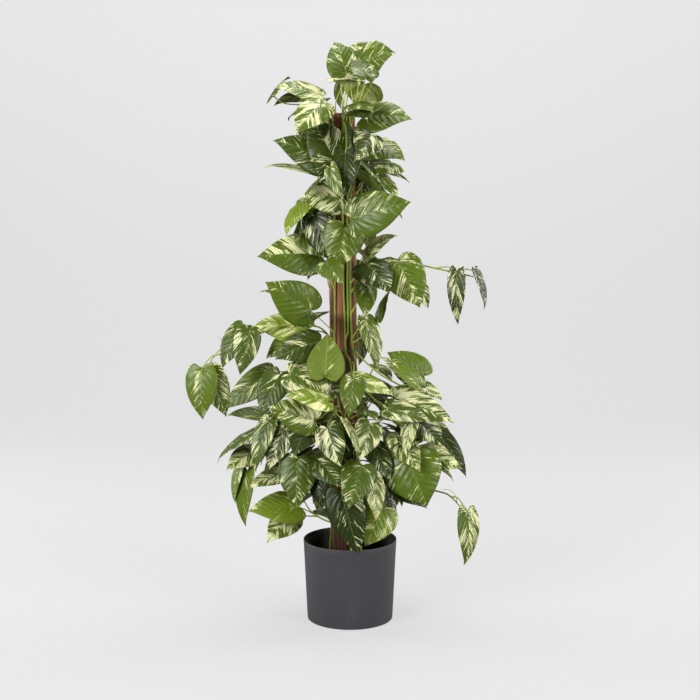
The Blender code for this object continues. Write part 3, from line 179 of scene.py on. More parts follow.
# Leaves as seen from the front, in centimetres: junction across and up, tip across and up,
# depth of the junction, depth that the tip adds, the way the upper face looks as right,
# front and up, and breadth as a share of the usual.
LEAVES_IN_VIEW = (
    (-0.7, 110.9, -3.0, 117.1, -2.5, 4.0, 0.0, 1.0, 0.7, 1.00),
    (3.4, 113.6, -3.2, 113.2, 0.5, 1.5, 0.1, 1.0, 0.2, 1.05),
    (2.0, 113.0, 8.8, 114.9, -1.5, -3.0, 0.1, 0.9, 0.4, 1.15),
    (2.9, 111.2, 1.6, 113.6, -8.5, 7.4, 0.1, 0.15, 1.0, 0.85),
    (-0.6, 109.4, -4.0, 109.2, -3.5, -5.0, 0.0, 0.05, 1.0, 0.90),
    (-0.2, 109.7, 2.0, 108.7, -4.0, -5.5, 0.0, 0.3, 1.0, 0.80),
    (3.1, 108.8, 1.9, 103.2, 0.0, 4.0, 0.2, -1.0, 0.4, 1.20),
    (-1.6, 109.0, -1.9, 103.9, 1.5, 3.5, -0.8, -0.6, 0.3, 0.60),
    (0.9, 105.0, 4.5, 103.5, -4.0, -5.5, 0.2, 0.9, 0.5, 0.90),
    (0.8, 103.6, 3.4, 101.9, -3.9, -5.5, 0.1, 0.9, 0.5, 0.90),
    (2.9, 102.4, 12.2, 102.0, -4.5, -4.0, 0.1, 0.8, 0.6, 0.98),
    (-5.6, 106.5, -14.8, 108.2, -3.0, -2.5, -0.1, 0.65, 0.8, 0.80),
    (-5.8, 104.9, -10.7, 99.0, -4.5, -5.0, -0.3, 0.9, 0.5, 1.05),
    (-8.5, 106.7, -15.1, 104.7, 0.5, 1.5, 0.0, -0.45, 0.9, 0.75),
    (-14.4, 107.4, -11.8, 110.1, 0.0, 4.5, -0.7, 0.05, 0.7, 0.80),
    (-8.0, 104.6, -12.4, 101.7, -0.5, 4.0, -0.6, 0.1, 0.75, 0.70),
    (-3.0, 93.9, -7.8, 102.2, -7.5, 2.0, 0.0, 1.0, 0.35, 1.05),
    (-0.9, 95.3, -0.7, 87.0, -7.0, -3.0, -0.3, 0.9, 0.2, 0.82),
    (0.4, 99.4, 1.0, 93.4, -5.5, -2.5, 0.9, 0.45, 0.1, 0.80),
    (4.2, 98.9, 1.6, 93.9, -6.0, -4.5, 0.2, 0.9, 0.4, 0.90),
    (3.4, 97.4, 11.0, 93.9, -3.5, -3.0, 0.2, 0.6, 0.75, 1.10),
    (8.2, 93.5, 5.2, 91.0, -1.5, -7.0, 0.3, 0.5, 0.9, 1.00),
    (4.8, 92.4, 11.9, 89.6, 2.0, 0.0, 0.3, 0.2, 0.9, 0.80),
    (2.9, 92.9, 7.1, 87.7, -8.0, -4.5, 0.75, 0.3, 0.6, 0.75),
    (5.4, 91.0, 9.7, 86.0, -3.5, -4.5, 0.6, 0.6, 0.6, 0.80),
    (2.6, 91.8, 2.2, 83.8, 3.5, 0.0, 0.1, 1.0, 0.1, 0.75),
    (2.8, 90.6, 7.0, 86.6, -2.0, -2.0, 0.2, -0.5, 0.8, 0.90),
    (0.6, 82.3, 12.2, 85.7, -11.0, -0.5, 0.0, 1.0, 0.3, 0.88),
    (3.4, 96.2, 5.4, 88.2, 1.5, 0.0, 0.2, 1.0, 0.0, 0.80),
    (-1.0, 80.6, -2.7, 72.0, -8.5, -0.5, 0.0, 1.0, 0.2, 1.15),
    (-1.6, 86.5, -10.2, 86.3, -6.5, -2.0, -0.1, 0.95, 0.45, 0.98),
    (-5.2, 90.8, -8.9, 86.3, -4.0, -4.0, -0.75, 0.25, 0.55, 0.80),
    (-4.0, 92.4, -1.2, 86.0, -8.5, -3.0, -0.5, 0.8, 0.2, 0.50),
    (-5.0, 93.7, -15.2, 97.9, -3.0, -2.0, -0.2, 0.8, 0.6, 0.85),
    (-6.8, 91.4, -17.3, 92.6, -2.0, 0.5, -0.1, 0.18, 1.0, 0.62),
    (-4.8, 95.4, -8.3, 91.9, 0.5, -4.0, 0.2, -0.8, 0.5, 1.00),
    (-9.2, 85.3, -12.9, 79.0, -3.5, -4.0, -0.7, 0.65, 0.45, 0.85),
    (-7.3, 82.8, -3.2, 73.3, -4.5, -2.0, -0.4, 0.85, 0.4, 0.75),
    (-8.8, 84.8, -5.3, 80.0, -4.5, -4.5, -0.6, 0.65, 0.5, 0.60),
    (-7.2, 77.6, -3.3, 74.0, -4.0, -3.0, -0.2, 0.6, 0.7, 0.90),
    (-6.4, 75.2, -18.6, 74.8, -5.5, -3.0, -0.1, 0.9, 0.35, 0.85),
    (-4.9, 73.5, -1.4, 69.1, -8.0, -6.0, -0.1, 0.85, 0.5, 0.75),
    (-5.6, 73.2, -8.6, 70.2, -2.0, -7.0, -0.2, 0.5, 0.85, 0.60),
    (-7.9, 63.8, -17.0, 69.6, -5.5, -2.5, -0.2, 0.95, 0.3, 0.92),
    (-10.5, 66.0, -18.2, 67.8, 0.5, 0.0, 0.0, 0.15, 1.0, 0.75),
    (-5.6, 63.4, -8.0, 61.2, -3.0, -7.0, -0.2, 0.3, 0.9, 0.55),
    (6.0, 85.2, 10.6, 82.4, 1.5, -2.0, 0.5, 0.2, 0.8, 0.80),
    (3.4, 75.5, 9.3, 79.1, -4.5, -3.0, 0.1, 0.6, 0.75, 0.75),
    (9.6, 73.6, 14.1, 64.4, -4.5, -2.0, 0.1, 1.0, 0.2, 1.03),
    (12.5, 70.5, 15.9, 64.2, -1.0, 0.5, 0.5, 0.8, 0.2, 0.75),
    (3.5, 73.2, 8.0, 67.4, -5.0, -5.0, 0.3, 0.9, 0.3, 1.10),
    (6.2, 63.4, 8.2, 68.2, -2.5, 3.5, -0.9, 0.25, 0.4, 0.80),
    (3.1, 68.8, 3.1, 62.3, -5.0, -5.0, 0.1, 1.0, 0.1, 0.70),
    (3.4, 61.9, 5.4, 51.7, -4.5, -3.0, 0.55, 0.8, 0.1, 0.58),
    (2.0, 60.0, 1.9, 52.6, 1.5, 3.0, 0.7, -0.6, 0.0, 0.75),
    (21.4, 71.6, 21.7, 60.8, -3.0, -1.0, -0.3, 0.95, 0.1, 0.42),
    (25.7, 70.4, 27.2, 64.0, -3.0, -1.5, 0.8, 0.5, 0.1, 0.50),
    (15.0, 50.6, 7.5, 55.4, -5.0, 1.0, 0.2, 0.9, 0.45, 0.90),
    (14.0, 48.8, 6.0, 54.6, -3.0, 1.0, 0.3, 0.5, 0.75, 0.70),
    (12.5, 49.9, 7.4, 53.3, -6.5, 0.5, -0.1, 0.5, 0.8, 0.60),
    (5.7, 52.2, 8.6, 49.4, -3.5, -7.0, 0.2, 0.35, 0.9, 0.55),
    (0.2, 50.0, 8.9, 46.5, -7.5, -3.0, 0.1, 0.7, 0.7, 0.60),
    (-5.0, 50.6, -4.5, 59.3, -8.0, 1.0, 0.0, -1.0, 0.15, 1.05),
    (-6.2, 57.4, -15.2, 54.0, -5.0, -3.0, -0.1, 0.75, 0.65, 1.05),
    (-8.8, 60.0, -19.6, 60.8, -1.5, -1.0, 0.0, 0.7, 0.7, 0.88),
    (-8.6, 59.2, -17.1, 54.2, -2.5, -2.0, -0.1, 0.75, 0.65, 0.90),
    (-21.6, 60.4, -26.0, 52.1, -4.0, -2.0, -0.4, 0.8, 0.45, 0.80),
    (-20.3, 59.7, -22.3, 50.6, -5.5, -2.0, 0.15, 0.95, 0.3, 0.70),
    (-30.1, 51.7, -30.0, 41.4, -5.0, -1.0, -0.2, 1.0, 0.2, 0.78),
    (-28.6, 51.6, -25.1, 42.0, -3.5, -1.0, 0.3, 0.9, 0.2, 0.72),
    (-16.2, 51.0, -25.7, 43.6, -4.0, -1.0, -0.2, 0.9, 0.4, 0.62),
    (-14.2, 50.9, -18.3, 42.2, -6.5, -3.0, -0.2, 0.9, 0.3, 0.80),
    (-18.6, 42.6, -25.0, 42.5, -2.0, 1.0, -0.1, 0.5, 0.8, 0.60),
    (-12.2, 51.0, -3.4, 47.2, -8.0, -2.0, -0.1, 0.8, 0.6, 0.85),
    (-4.4, 45.4, -13.3, 46.4, -10.5, -1.0, 0.0, 0.42, 0.9, 0.95),
    (-7.3, 41.5, -16.7, 44.1, -10.5, -2.0, -0.1, 0.9, 0.35, 0.90),
    (-2.6, 41.6, -9.4, 41.2, -7.5, -4.0, 0.0, 0.6, 0.75, 0.70),
    (0.4, 47.6, -0.3, 41.8, -9.5, -4.0, 0.0, 1.0, 0.1, 0.75),
    (-0.3, 48.9, -3.4, 45.8, -5.5, -6.8, 0.0, 0.45, 0.9, 0.65),
    (2.3, 43.3, 5.6, 41.3, -7.5, -7.0, 0.2, 0.4, 0.9, 0.65),
    (7.5, 43.8, 16.6, 41.1, -8.0, -2.0, 0.1, 0.8, 0.6, 0.60),
    (13.2, 48.6, 18.8, 45.6, -4.0, -3.5, 0.4, 0.6, 0.7, 0.85),
    (9.2, 46.0, 21.3, 40.9, -5.5, -2.0, 0.1, 0.85, 0.55, 0.60),
    (18.2, 38.6, 23.9, 29.6, -2.5, -2.0, 0.35, 0.85, 0.3, 0.50),
    (14.8, 40.4, 20.9, 38.2, -1.0, -4.0, 0.3, 0.6, 0.7, 0.90),
    (12.4, 40.7, 11.6, 33.5, -9.0, -3.5, -0.6, 0.75, 0.1, 0.60),
    (14.1, 39.5, 12.9, 35.7, -6.0, -5.0, 0.0, 0.9, 0.5, 0.90),
    (15.2, 39.5, 18.6, 35.9, -4.5, -5.0, 0.2, 0.7, 0.6, 1.00),
    (13.6, 34.9, 20.0, 35.3, -5.5, -4.0, 0.1, 0.5, 0.8, 0.80),
    (15.2, 34.0, 22.9, 31.4, -6.5, -3.5, 0.1, 0.85, 0.5, 0.75),
    (16.5, 33.0, 21.3, 28.8, 1.5, -1.0, 0.6, 0.2, 0.7, 0.70),
    (11.8, 33.2, 15.9, 23.4, -8.5, -2.0, -0.1, 1.0, 0.2, 1.38),
    (-2.6, 37.6, -1.7, 29.6, -5.0, -0.5, 0.0, 1.0, 0.1, 1.00),
    (9.4, 28.3, 15.9, 23.0, -6.0, -2.0, 0.1, 0.7, 0.7, 0.80),
    (24.2, 22.2, 23.7, 10.8, -3.0, -1.5, 0.6, 0.8, 0.2, 0.62),
    (-1.8, 26.2, 1.9, 13.0, -13.0, -1.0, 0.0, 1.0, 0.1, 0.70),
    (2.5, 28.5, 4.5, 19.5, -7.0, -1.0, 0.1, 1.0, 0.1, 0.80),
    (6.8, 22.9, 3.1, 14.9, -12.5, -2.5, 0.1, 1.0, 0.25, 1.10),
    (2.4, 31.8, -0.4, 22.9, -11.0, -2.5, 0.0, 1.0, 0.25, 0.95),
    (4.7, 29.6, 5.4, 20.3, -12.0, -2.0, 0.45, 0.9, 0.1, 0.62),
    (5.6, 31.6, 9.9, 24.2, -9.5, -3.5, 0.35, 0.9, 0.3, 0.85),
    (-4.7, 39.7, -1.8, 31.6, -11.5, -3.0, -0.2, 0.9, 0.3, 0.85),
    (-2.0, 40.8, -1.0, 33.0, -8.5, -3.0, 0.0, 0.9, 0.3, 0.80),
    (3.9, 39.7, 1.9, 33.0, -9.0, -3.5, 0.2, 0.9, 0.3, 0.85),
    (-0.8, 41.2, 1.7, 33.3, -11.0, -2.0, 0.85, 0.4, 0.2, 0.60),
    (-10.5, 33.3, -11.1, 23.3, -9.0, -2.0, -0.1, 1.0, 0.2, 1.00),
    (-10.6, 23.4, -20.9, 22.5, -5.5, -2.0, -0.1, 0.7, 0.7, 0.90),
    (-12.0, 21.3, -17.1, 15.8, -4.0, -4.5, -0.2, 0.85, 0.5, 0.95),
    (-21.2, 30.7, -21.6, 19.0, -4.0, -1.5, -0.6, 0.8, 0.1, 0.50),
    (-22.6, 31.2, -23.7, 24.0, -2.0, -3.0, -0.8, 0.55, 0.1, 0.55),
    (-20.3, 34.4, -25.3, 31.0, -2.5, -4.0, -0.2, 0.8, 0.5, 0.85),
    (-18.9, 39.5, -27.4, 32.7, -1.0, 0.0, -0.55, 0.12, 0.8, 0.80),
    (-16.6, 41.1, -19.5, 30.5, -5.0, -2.0, -0.6, 0.75, 0.35, 0.60),
    (-13.4, 39.5, -16.7, 31.0, -7.5, -3.0, -0.2, 0.9, 0.3, 0.75),
    (-14.3, 30.1, -20.8, 27.2, -6.0, -3.0, -0.1, 0.55, 0.8, 0.75),
    (-9.0, 39.0, -11.5, 33.8, -8.0, -4.0, -0.2, 0.8, 0.4, 0.95),
    (-6.9, 30.2, -5.6, 22.9, -8.5, -2.0, -0.3, 0.95, 0.0, 0.65),
    (-6.2, 32.9, -1.9, 27.3, -9.0, -4.0, 0.0, 0.8, 0.5, 0.90),
    (9.8, 38.6, 8.0, 35.6, -5.5, -7.2, 0.0, 0.45, 0.9, 0.65),
    (5.2, 35.3, 8.2, 28.7, -8.0, -3.0, 0.3, 0.85, 0.4, 0.80),
    (11.2, 35.5, 14.3, 30.8, -9.0, -3.5, 0.1, 0.9, 0.4, 0.75),
)

# What a leaf in view may change until it is clear of the others: its turn to the right, its
# depth in steps to both sides, and how much further its tip lies.
TURN_TRIES = (0.0, 0.25, -0.25)
DEPTH_TRIES = 27
DEPTH_STEP = 0.5
FURTHER_TRIES = (0.0, 1.5, -1.5)

# How wide the plant is from the front: height, left and right, in centimetres. The leaves
# that the rule adds behind and within keep inside it.
OUTLINE = (
    (18.5, -7, 8.5), (22, -9, 9.5), (24, -13, 12), (27, -19, 17), (34, -20, 20),
    (38, -19.5, 19.5), (42, -19, 18), (46, -18, 16), (50, -19, 14), (53, -15, 6),
    (56, -12, 4.5), (59, -7, 2.8), (60.5, -3.8, 1.0), (69, -3.8, 1.2), (71, -6, 4.5),
    (74, -12, 11), (76, -13, 4.5), (79, -11.5, 6.5), (82, -11, 8.5), (86, -8, 9.5),
    (90, -7, 7), (93, -9.5, 9.5), (96, -11.5, 8), (99, -10, 5), (102, -10.5, 8),
    (105, -9.5, 6), (108, -5.5, 6), (111, -4, 5.5), (114, -4, 6), (116.5, -3, 2),
)

# Heights between which the bare pole shows from the front.
BARE_STRETCHES = ((0.505, 0.700), (0.985, 1.036))

# The leaves that the rule adds: how many, the tries for each, the seed of their draws and
# the share of them that grows low down. Then their heights low down and high up, how far from
# the pole their blades start, the turn of the first and the fan that they fill, how much they
# hang in degrees, and how long and broad they are.
RULE_LEAVES = 76
RULE_ATTEMPTS = 220
RULE_SEED = 11
LOW_SHARE = 0.67
LOW_HEIGHTS = (0.21, 0.50)
HIGH_HEIGHTS = (0.68, 1.10)
RULE_NEAREST = 0.058
LOW_FURTHEST = 0.150
HIGH_FURTHEST = 0.115
RULE_BEARING = 62.0
RULE_FAN = 236.0
RULE_HANG = (12.0, 78.0)
RULE_LENGTH = (0.082, 0.114)
RULE_BREADTH = (0.85, 1.02)

# The dressed blade: how finely it is divided and how thick it is, then its fine waves, its
# midrib, its dipping tip and its side veins, as shares of its length.
BLADE_ROWS = 36
BLADE_COLUMNS = 8
BLADE_BODY = 0.00055
MARGIN_WAVE = 0.006
MARGIN_HALF = 0.34
MIDRIB_DEPTH = 0.012
MIDRIB_WIDTH = 0.022
MIDRIB_BODY = 0.0011
TIP_START = 0.78
TIP_DIP = 0.030
SIDE_VEIN_PAIRS = 7.0
SIDE_VEIN_DEPTH = 0.0046
VEIN_SLOPE = 0.85
VEIN_CURL = 0.90
FAN_STEP = 0.27

# Half of a blade's margin from the sinus round the lobe to the tip, as shares of its length:
# where the midrib point of the row lies, then how far out and how far along its margin point.
BLADE_MARGIN = (
    (0.000, 0.000, 0.000), (0.012, 0.060, -0.075), (0.026, 0.165, -0.128),
    (0.045, 0.285, -0.105), (0.085, 0.370, -0.010), (0.165, 0.420, 0.130),
    (0.310, 0.420, 0.300), (0.470, 0.378, 0.460), (0.620, 0.298, 0.615),
    (0.750, 0.207, 0.745), (0.850, 0.124, 0.845), (0.920, 0.062, 0.915),
    (0.965, 0.024, 0.960), (1.000, 0.000, 1.000),
)

# How a leaf of the table above looks: its number, then green from dark (0) to lime (1), how
# much cream it has, and which half has more of it, from -1 (left) to 1 (right, tip upwards).
# Leaves that lie in shade among the others were given darker greens, so the dark end of this scale
# is partly painted shade.
LEAF_LOOKS = {
    0: (0.42, 0.25, 0.6), 1: (0.46, 0.10, 0.0), 2: (0.52, 0.22, 0.0), 3: (0.30, 0.20, 0.3),
    4: (0.45, 0.75, 0.0), 5: (0.50, 0.65, 0.0), 6: (0.85, 0.62, 0.6), 7: (0.25, 0.15, 0.0),
    8: (0.42, 0.15, 0.0), 9: (0.20, 0.10, 0.0), 10: (0.50, 0.15, -0.3), 11: (0.50, 0.58, 0.0),
    12: (0.50, 0.56, 0.0), 13: (0.15, 0.10, 0.0), 14: (0.30, 0.20, 0.0), 15: (0.30, 0.20, 0.0),
    16: (0.22, 0.34, 0.8), 17: (0.15, -0.10, 0.0), 18: (0.12, 0.10, 0.0), 19: (0.20, 0.42, 0.0),
    20: (0.42, 0.25, 0.0), 21: (0.35, 0.32, 0.0), 22: (0.15, 0.15, 0.0), 23: (0.35, 0.20, 0.0),
    24: (0.62, 0.35, 0.0), 25: (0.12, 0.18, 0.0), 26: (0.35, 0.15, 0.0), 27: (0.50, 0.20, -0.5),
    28: (0.14, 0.10, 0.0), 29: (0.54, 0.22, -0.6), 30: (0.45, 0.50, 0.9), 31: (0.30, 0.25, 0.0),
    32: (0.40, 0.40, 0.0), 33: (0.25, 0.30, 0.8), 34: (0.60, 0.72, 0.0), 35: (0.15, 0.08, 0.0),
    36: (0.85, 0.15, 0.0), 37: (0.10, 0.10, 0.0), 38: (0.62, 0.28, 0.0), 39: (0.35, 0.30, 0.0),
    40: (0.42, 0.36, 0.9), 41: (0.50, 0.10, 0.0), 42: (0.15, 0.15, 0.0), 43: (0.60, 0.10, 0.0),
    44: (0.35, 0.30, 0.0), 45: (0.15, 0.02, 0.0), 46: (0.35, 0.30, 0.0), 47: (0.50, 0.60, 0.0),
    48: (0.58, 0.28, 0.7), 49: (0.45, 0.60, 0.0), 50: (0.14, 0.20, 0.0), 51: (0.50, 0.15, 0.0),
    52: (0.45, 0.15, 0.0), 53: (0.45, 0.42, 0.0), 54: (0.04, 0.04, 0.0), 55: (0.15, 0.45, 0.0),
    56: (0.10, 0.15, 0.0), 57: (0.60, 0.02, 0.0), 58: (0.15, 0.48, 0.0), 59: (0.66, 0.05, 0.0),
    60: (0.45, 0.45, 0.0), 61: (0.75, 0.58, 0.0), 62: (0.46, -0.15, 0.0), 63: (0.20, 0.12, 0.0),
    64: (0.85, 0.60, 0.0), 65: (0.95, 0.20, 0.0), 66: (0.30, 0.08, 0.0), 67: (0.30, 0.25, 0.0),
    68: (0.62, 0.08, 0.5), 69: (0.55, 0.45, 0.0), 70: (0.45, 0.28, 0.0), 71: (0.25, 0.06, 0.0),
    72: (0.42, 0.04, 0.0), 73: (0.35, 0.60, 0.0), 74: (0.80, 0.42, 0.0), 75: (0.45, 0.50, 0.8),
    76: (0.14, 0.20, 0.0), 77: (0.42, 0.15, 0.0), 78: (0.12, 0.03, 0.0), 79: (0.38, 0.30, 0.0),
    80: (0.30, 0.45, 0.0), 81: (0.40, 0.48, 0.0), 82: (0.30, 0.55, -1.0), 83: (0.14, 0.05, 0.0),
    84: (0.35, 0.35, 0.0), 85: (0.50, 0.62, 0.0), 86: (0.48, 0.55, 0.0), 87: (0.14, 0.34, 0.0),
    88: (0.70, 0.70, 0.0), 89: (0.55, 0.72, 0.0), 90: (0.30, 0.20, 0.0), 91: (0.56, 0.15, 0.3),
    92: (0.12, 0.12, 0.0), 93: (0.14, 0.14, 0.0), 94: (0.45, 0.50, -0.4), 95: (0.06, 0.05, -1.0),
    96: (0.06, 0.06, 0.0), 97: (0.72, 0.25, -0.6), 98: (0.32, 0.16, 0.2), 99: (0.50, 0.72, 0.0),
    100: (0.15, 0.04, 0.0), 101: (0.20, 0.48, 0.9), 102: (0.12, 0.04, 0.0), 103: (0.35, 0.50, 0.0),
    104: (0.55, 0.74, 0.0), 105: (0.32, 0.20, 0.3), 106: (0.80, 0.08, 0.0), 107: (0.45, 0.66, 0.0),
    108: (0.66, 0.10, 0.0), 109: (0.66, 0.10, 0.0), 110: (0.60, 0.72, 0.0), 111: (0.30, 0.30, 0.0),
    112: (0.32, 0.22, 0.3), 113: (0.18, 0.42, 0.0), 114: (0.40, 0.58, 0.0), 115: (0.12, 0.05, 0.0),
    116: (0.04, 0.05, 0.0), 117: (0.20, 0.06, 0.0), 118: (0.45, 0.62, 0.0), 119: (0.12, 0.05, 0.0),
    120: (0.48, 0.58, 0.0),
}

# What the green and the cream of the other leaves are drawn from.
OTHER_TONES = (0.12, 0.20, 0.34, 0.46, 0.52, 0.62)
OTHER_CREAMS = (0.00, 0.10, 0.20, 0.35, 0.50, 0.65)

# Short bare tendrils on the left and the low right shoot: index of the climber, then
# points as in SHOOTS.
TENDRILS = (
    (11, ((-22.3, 57.1, -3.0), (-24.2, 57.5, -3.0), (-25.7, 57.8, -3.1), (-26.7, 58.6, -3.2))),
    (4, ((22.0, 23.9, -1.8), (21.6, 25.7, -1.6), (20.4, 26.8, -1.4), (18.9, 26.9, -1.2))),
)
TENDRIL_RADIUS = 0.0008

STALK_STEP = 0.0035
STALK_ROUND = 12
PETIOLE_ROUND = 8

# How a stem swells and browns where a petiole leaves it, and tapers at its end: the length
# along the stem and the strength of each; then the same for a petiole's sheath and its knee,
# with the length as a share of the petiole.
KNOT = (0.0034, 0.24)
SCAR = (0.0022, 0.55)
TAPER_STEPS = 14.0
TAPER_SHARE = 0.38
SHEATH = (0.16, 0.75)
KNEE = (0.08, 0.18)
PETIOLE_MIDDLE = 0.86
SHOOT_SHARE = 0.80

COIR_ROUND = 120
COIR_RISE = 400
COIR_FURROW = 0.0011
COIR_LUMP = 0.0007
# Painted shade on the coir: darkest (0.16 of its colour) at the lower height, none from the upper
# height up.
COIR_SHADE_FULL_LEVEL = 0.135
COIR_SHADE_END_LEVEL = 0.270
LOOSE_FIBRES = 1300
FIBRE_SEED = 5
POT_ROUND = 144
FILL_ROUND = 96
FILL_RINGS = 34
CRUMBS = 420
CRUMB_SEED = 21
CRUMB_SPANS = ((0.0007, 0.0026), (0.0007, 0.0026), (0.0005, 0.0015))
TIE_BEARINGS = (150.0, 52.0, 200.0)
TIE_STEPS = 48
TIE_END_STEPS = 20
TIE_END_TURNS = 2.25

# How cream is laid over a blade, from broad patches to flecks: how fast it changes from vein
# to vein and outwards, its detail, its roughness and its weight.
CREAM_MARKS = ((4.2, 3.4, 1.0, 0.50, 0.98), (30.0, 4.0, 3.0, 0.62, 1.12),
               (95.0, 15.0, 1.0, 0.50, 0.50))
CREAM_LEVEL = 1.535
CREAM_RANGE = 0.36
CREAM_LEAN = 0.07

# The two faces of a leaf. Greens run from dark to lime and creams from dark leaves' to lime
# leaves'; the last three say how strongly the midrib is tinted and how far the side veins and
# the swelling between them sink.
UPPER_FACE = {
    "name": "pothos_upper_face", "roughness": 0.29, "specular": 0.25,
    "greens": ((0.014, 0.023, 0.003, 1), (0.072, 0.112, 0.008, 1), (0.190, 0.265, 0.018, 1)),
    "creams": ((0.640, 0.645, 0.370, 1), (0.660, 0.665, 0.300, 1)),
    "pale": (0.140, 0.190, 0.045, 1), "midrib": 0.22, "vein": 0.4, "swell": 0.45}
# The underside's greens are paler than the upper face's, and lighter still as painted light that
# stands in for light shining through the blade.
UNDER_FACE = {
    "name": "pothos_under_face", "roughness": 0.55, "specular": 0.17,
    "greens": ((0.042, 0.065, 0.010, 1), (0.130, 0.180, 0.022, 1), (0.250, 0.330, 0.030, 1)),
    "creams": ((0.460, 0.500, 0.240, 1), (0.560, 0.580, 0.240, 1)),
    "pale": (0.160, 0.225, 0.070, 1), "midrib": 0.60, "vein": -0.6, "swell": -0.45}
PALE_SHARE = 0.45
RIB_COLOUR = (0.250, 0.320, 0.090, 1)
LEAF_RELIEF = 0.0007
STALK_GREENS = ((0.180, 0.260, 0.025, 1), (0.400, 0.470, 0.050, 1))
STALK_STREAK = (0.420, 0.430, 0.110, 1)
STALK_SCAR = (0.160, 0.100, 0.035, 1)
COIR_BROWNS = ((0.085, 0.031, 0.015, 1), (0.275, 0.115, 0.060, 1))
COIR_STRAND = (0.430, 0.250, 0.140, 1)
COIR_FIBRE = (0.430, 0.230, 0.130, 1)
POT_GREYS = ((0.0440, 0.0440, 0.0500, 1), (0.085, 0.083, 0.083, 1))
# Painted shade on the inside of the pot's wall.
POT_INSIDE_SHADE = (0.0140, 0.0130, 0.0130, 1)

# How cloudy the tones are: how fast they change in space, and how much.
LEAF_CLOUD = (70.0, 0.22)
STALK_CLOUD = (110.0, 0.20)
COIR_CLOUD = (45.0, 0.30)
POT_CLOUD = (16.0, 0.07)

# Finishes of one grain: name, specular, how far the grain is stretched upwards, the grain's
# scale, detail and roughness, where it starts and ends to tint and how much, the two colours,
# the cloudiness, the roughness of low and high grain, and the depth of the relief.
MIX_FINISH = ("dark_potting_mix", 0.15, 1.0, (420.0, 4.0, 0.65), (0.40, 0.68, 0.0, 1.0),
              ((0.0045, 0.0034, 0.0028, 1), (0.020, 0.014, 0.010, 1)), (60.0, 0.30),
              (0.98, 0.86), 0.0016)
WIRE_FINISH = ("green_coated_wire", 0.5, 1.0, (700.0, 3.0, 0.6), (0.45, 0.75, 0.0, 0.5),
               ((0.030, 0.150, 0.070, 1), (0.110, 0.280, 0.150, 1)), (90.0, 0.15),
               (0.34, 0.50), 0.0001)
CORE_FINISH = ("pale_core_wood", 0.3, 0.06, (260.0, 3.0, 0.5), (0.35, 0.65, 0.0, 1.0),
               ((0.300, 0.200, 0.110, 1), (0.470, 0.340, 0.200, 1)), (60.0, 0.0),
               (0.75, 0.75), 0.0004)

# The camera: its focal length in pixels of the picture, and how far it looks down in degrees.
CAMERA_FOCAL = 1500.0
CAMERA_DIP = 8.16
PICTURE_WIDTH = 700.0
SENSOR_WIDTH = 36.0

# Lamps: name, place, size and power. They all look at one point.
LAMP_AIM = Vector((0.0, 0.0, 0.5))
LAMPS = (
    ("key_left", (-2.4, -2.7, 2.1), (1.6, 2.2), 165.0),
    ("fill_right", (2.7, -2.2, 1.7), (1.3, 2.0), 95.0),
    ("top_soft", (0.1, 0.7, 4.4), (3.0, 2.4), 165.0),
    ("edge_left", (-2.3, 0.9, 1.15), (0.5, 1.4), 42.0),
    ("edge_right", (2.3, 0.9, 1.15), (0.5, 1.4), 42.0),
)

# How strongly the air lights the plant, and how bright the camera sees it.
AIR_STRENGTH = 0.10
AIR_SEEN = 0.70

# The paper sweep: half its width, its front edge, where it starts to rise, the radius of that
# rise and its height. Then its tones, how strongly it glows at the foot and from a height up,
# and how strongly where the camera doesn't see it.
PAPER_HALF_WIDTH = 9.0
PAPER_FRONT = -7.0
PAPER_BEND = 2.0
PAPER_RADIUS = 1.6
PAPER_TOP = 7.0
PAPER_GREYS = ((0.118, 0.118, 0.118, 1), (0.122, 0.122, 0.122, 1))
PAPER_GLOW_RISE = 1.8
PAPER_GLOW_LOW = 0.585
PAPER_GLOW_HIGH = 0.685
PAPER_BOUNCE = 0.13


def blend(a, b, share):
    return a + (b - a) * share


def smooth(value):
    value = min(max(value, 0.0), 1.0)
    return value * value * (3.0 - 2.0 * value)


def around(angle):
    """The level direction at an angle about the upright axis."""
    return Vector((math.cos(angle), math.sin(angle), 0.0))


def upwards(rise):
    return Vector((0.0, 0.0, rise))


def bands(rings, sides, first=0):
    """Four-cornered faces between rings of vertices that follow one another."""
    faces = []
    for ring in range(rings - 1):
        for side in range(sides):
            here = first + ring * sides + side
            there = first + ring * sides + (side + 1) % sides
            faces.append((here, there, there + sides, here + sides))
    return faces


def halves(faces):
    """Every four-cornered face as two triangles."""
    return [half for a, b, c, d in faces for half in ((a, b, c), (a, c, d))]


def spline(before, here, after, beyond, t):
    """The point at a share t of the way from here to after, on a smooth curve through all."""
    return 0.5 * ((2.0 * here) + (after - before) * t
                  + (2.0 * before - 5.0 * here + 4.0 * after - beyond) * t * t
                  + (3.0 * here - before - 3.0 * after + beyond) * t ** 3)


def rounded(points, repeats):
    """Extra points on a smooth curve through the given ones."""
    result = []
    last = len(points) - 1
    for index in range(last):
        four = (points[max(index - 1, 0)], points[index], points[index + 1],
                points[min(index + 2, last)])
        result.extend(spline(*four, step / repeats) for step in range(repeats))
    result.append(points[last])
    return result


def pole_axis(height):
    share = (height - POLE_FOOT.z) / (POLE_HEAD.z - POLE_FOOT.z)
    return POLE_FOOT.lerp(POLE_HEAD, share)


def outward(bearing):
    angle = math.radians(bearing)
    return Vector((math.sin(angle), -math.cos(angle), 0.0))


def sight(across, up, depth):
    """The point at a depth, in centimetres, on the eye's line through (across, 0, up)."""
    target = Vector((across, 0.0, up)) * CM
    share = (depth * CM - EYE.y) / -EYE.y
    return EYE + (target - EYE) * share


def bearing_at(index, height):
    """The bearing of a climbing stem at a height, with its turns and its sway."""
    bearing, _, turns = CLIMBERS[index]
    for start, end, angle in turns:
        bearing += angle * smooth((start - height) / (start - end))
    return bearing + STEM_SWAY * math.sin(height * 14.0 + index * 1.9)


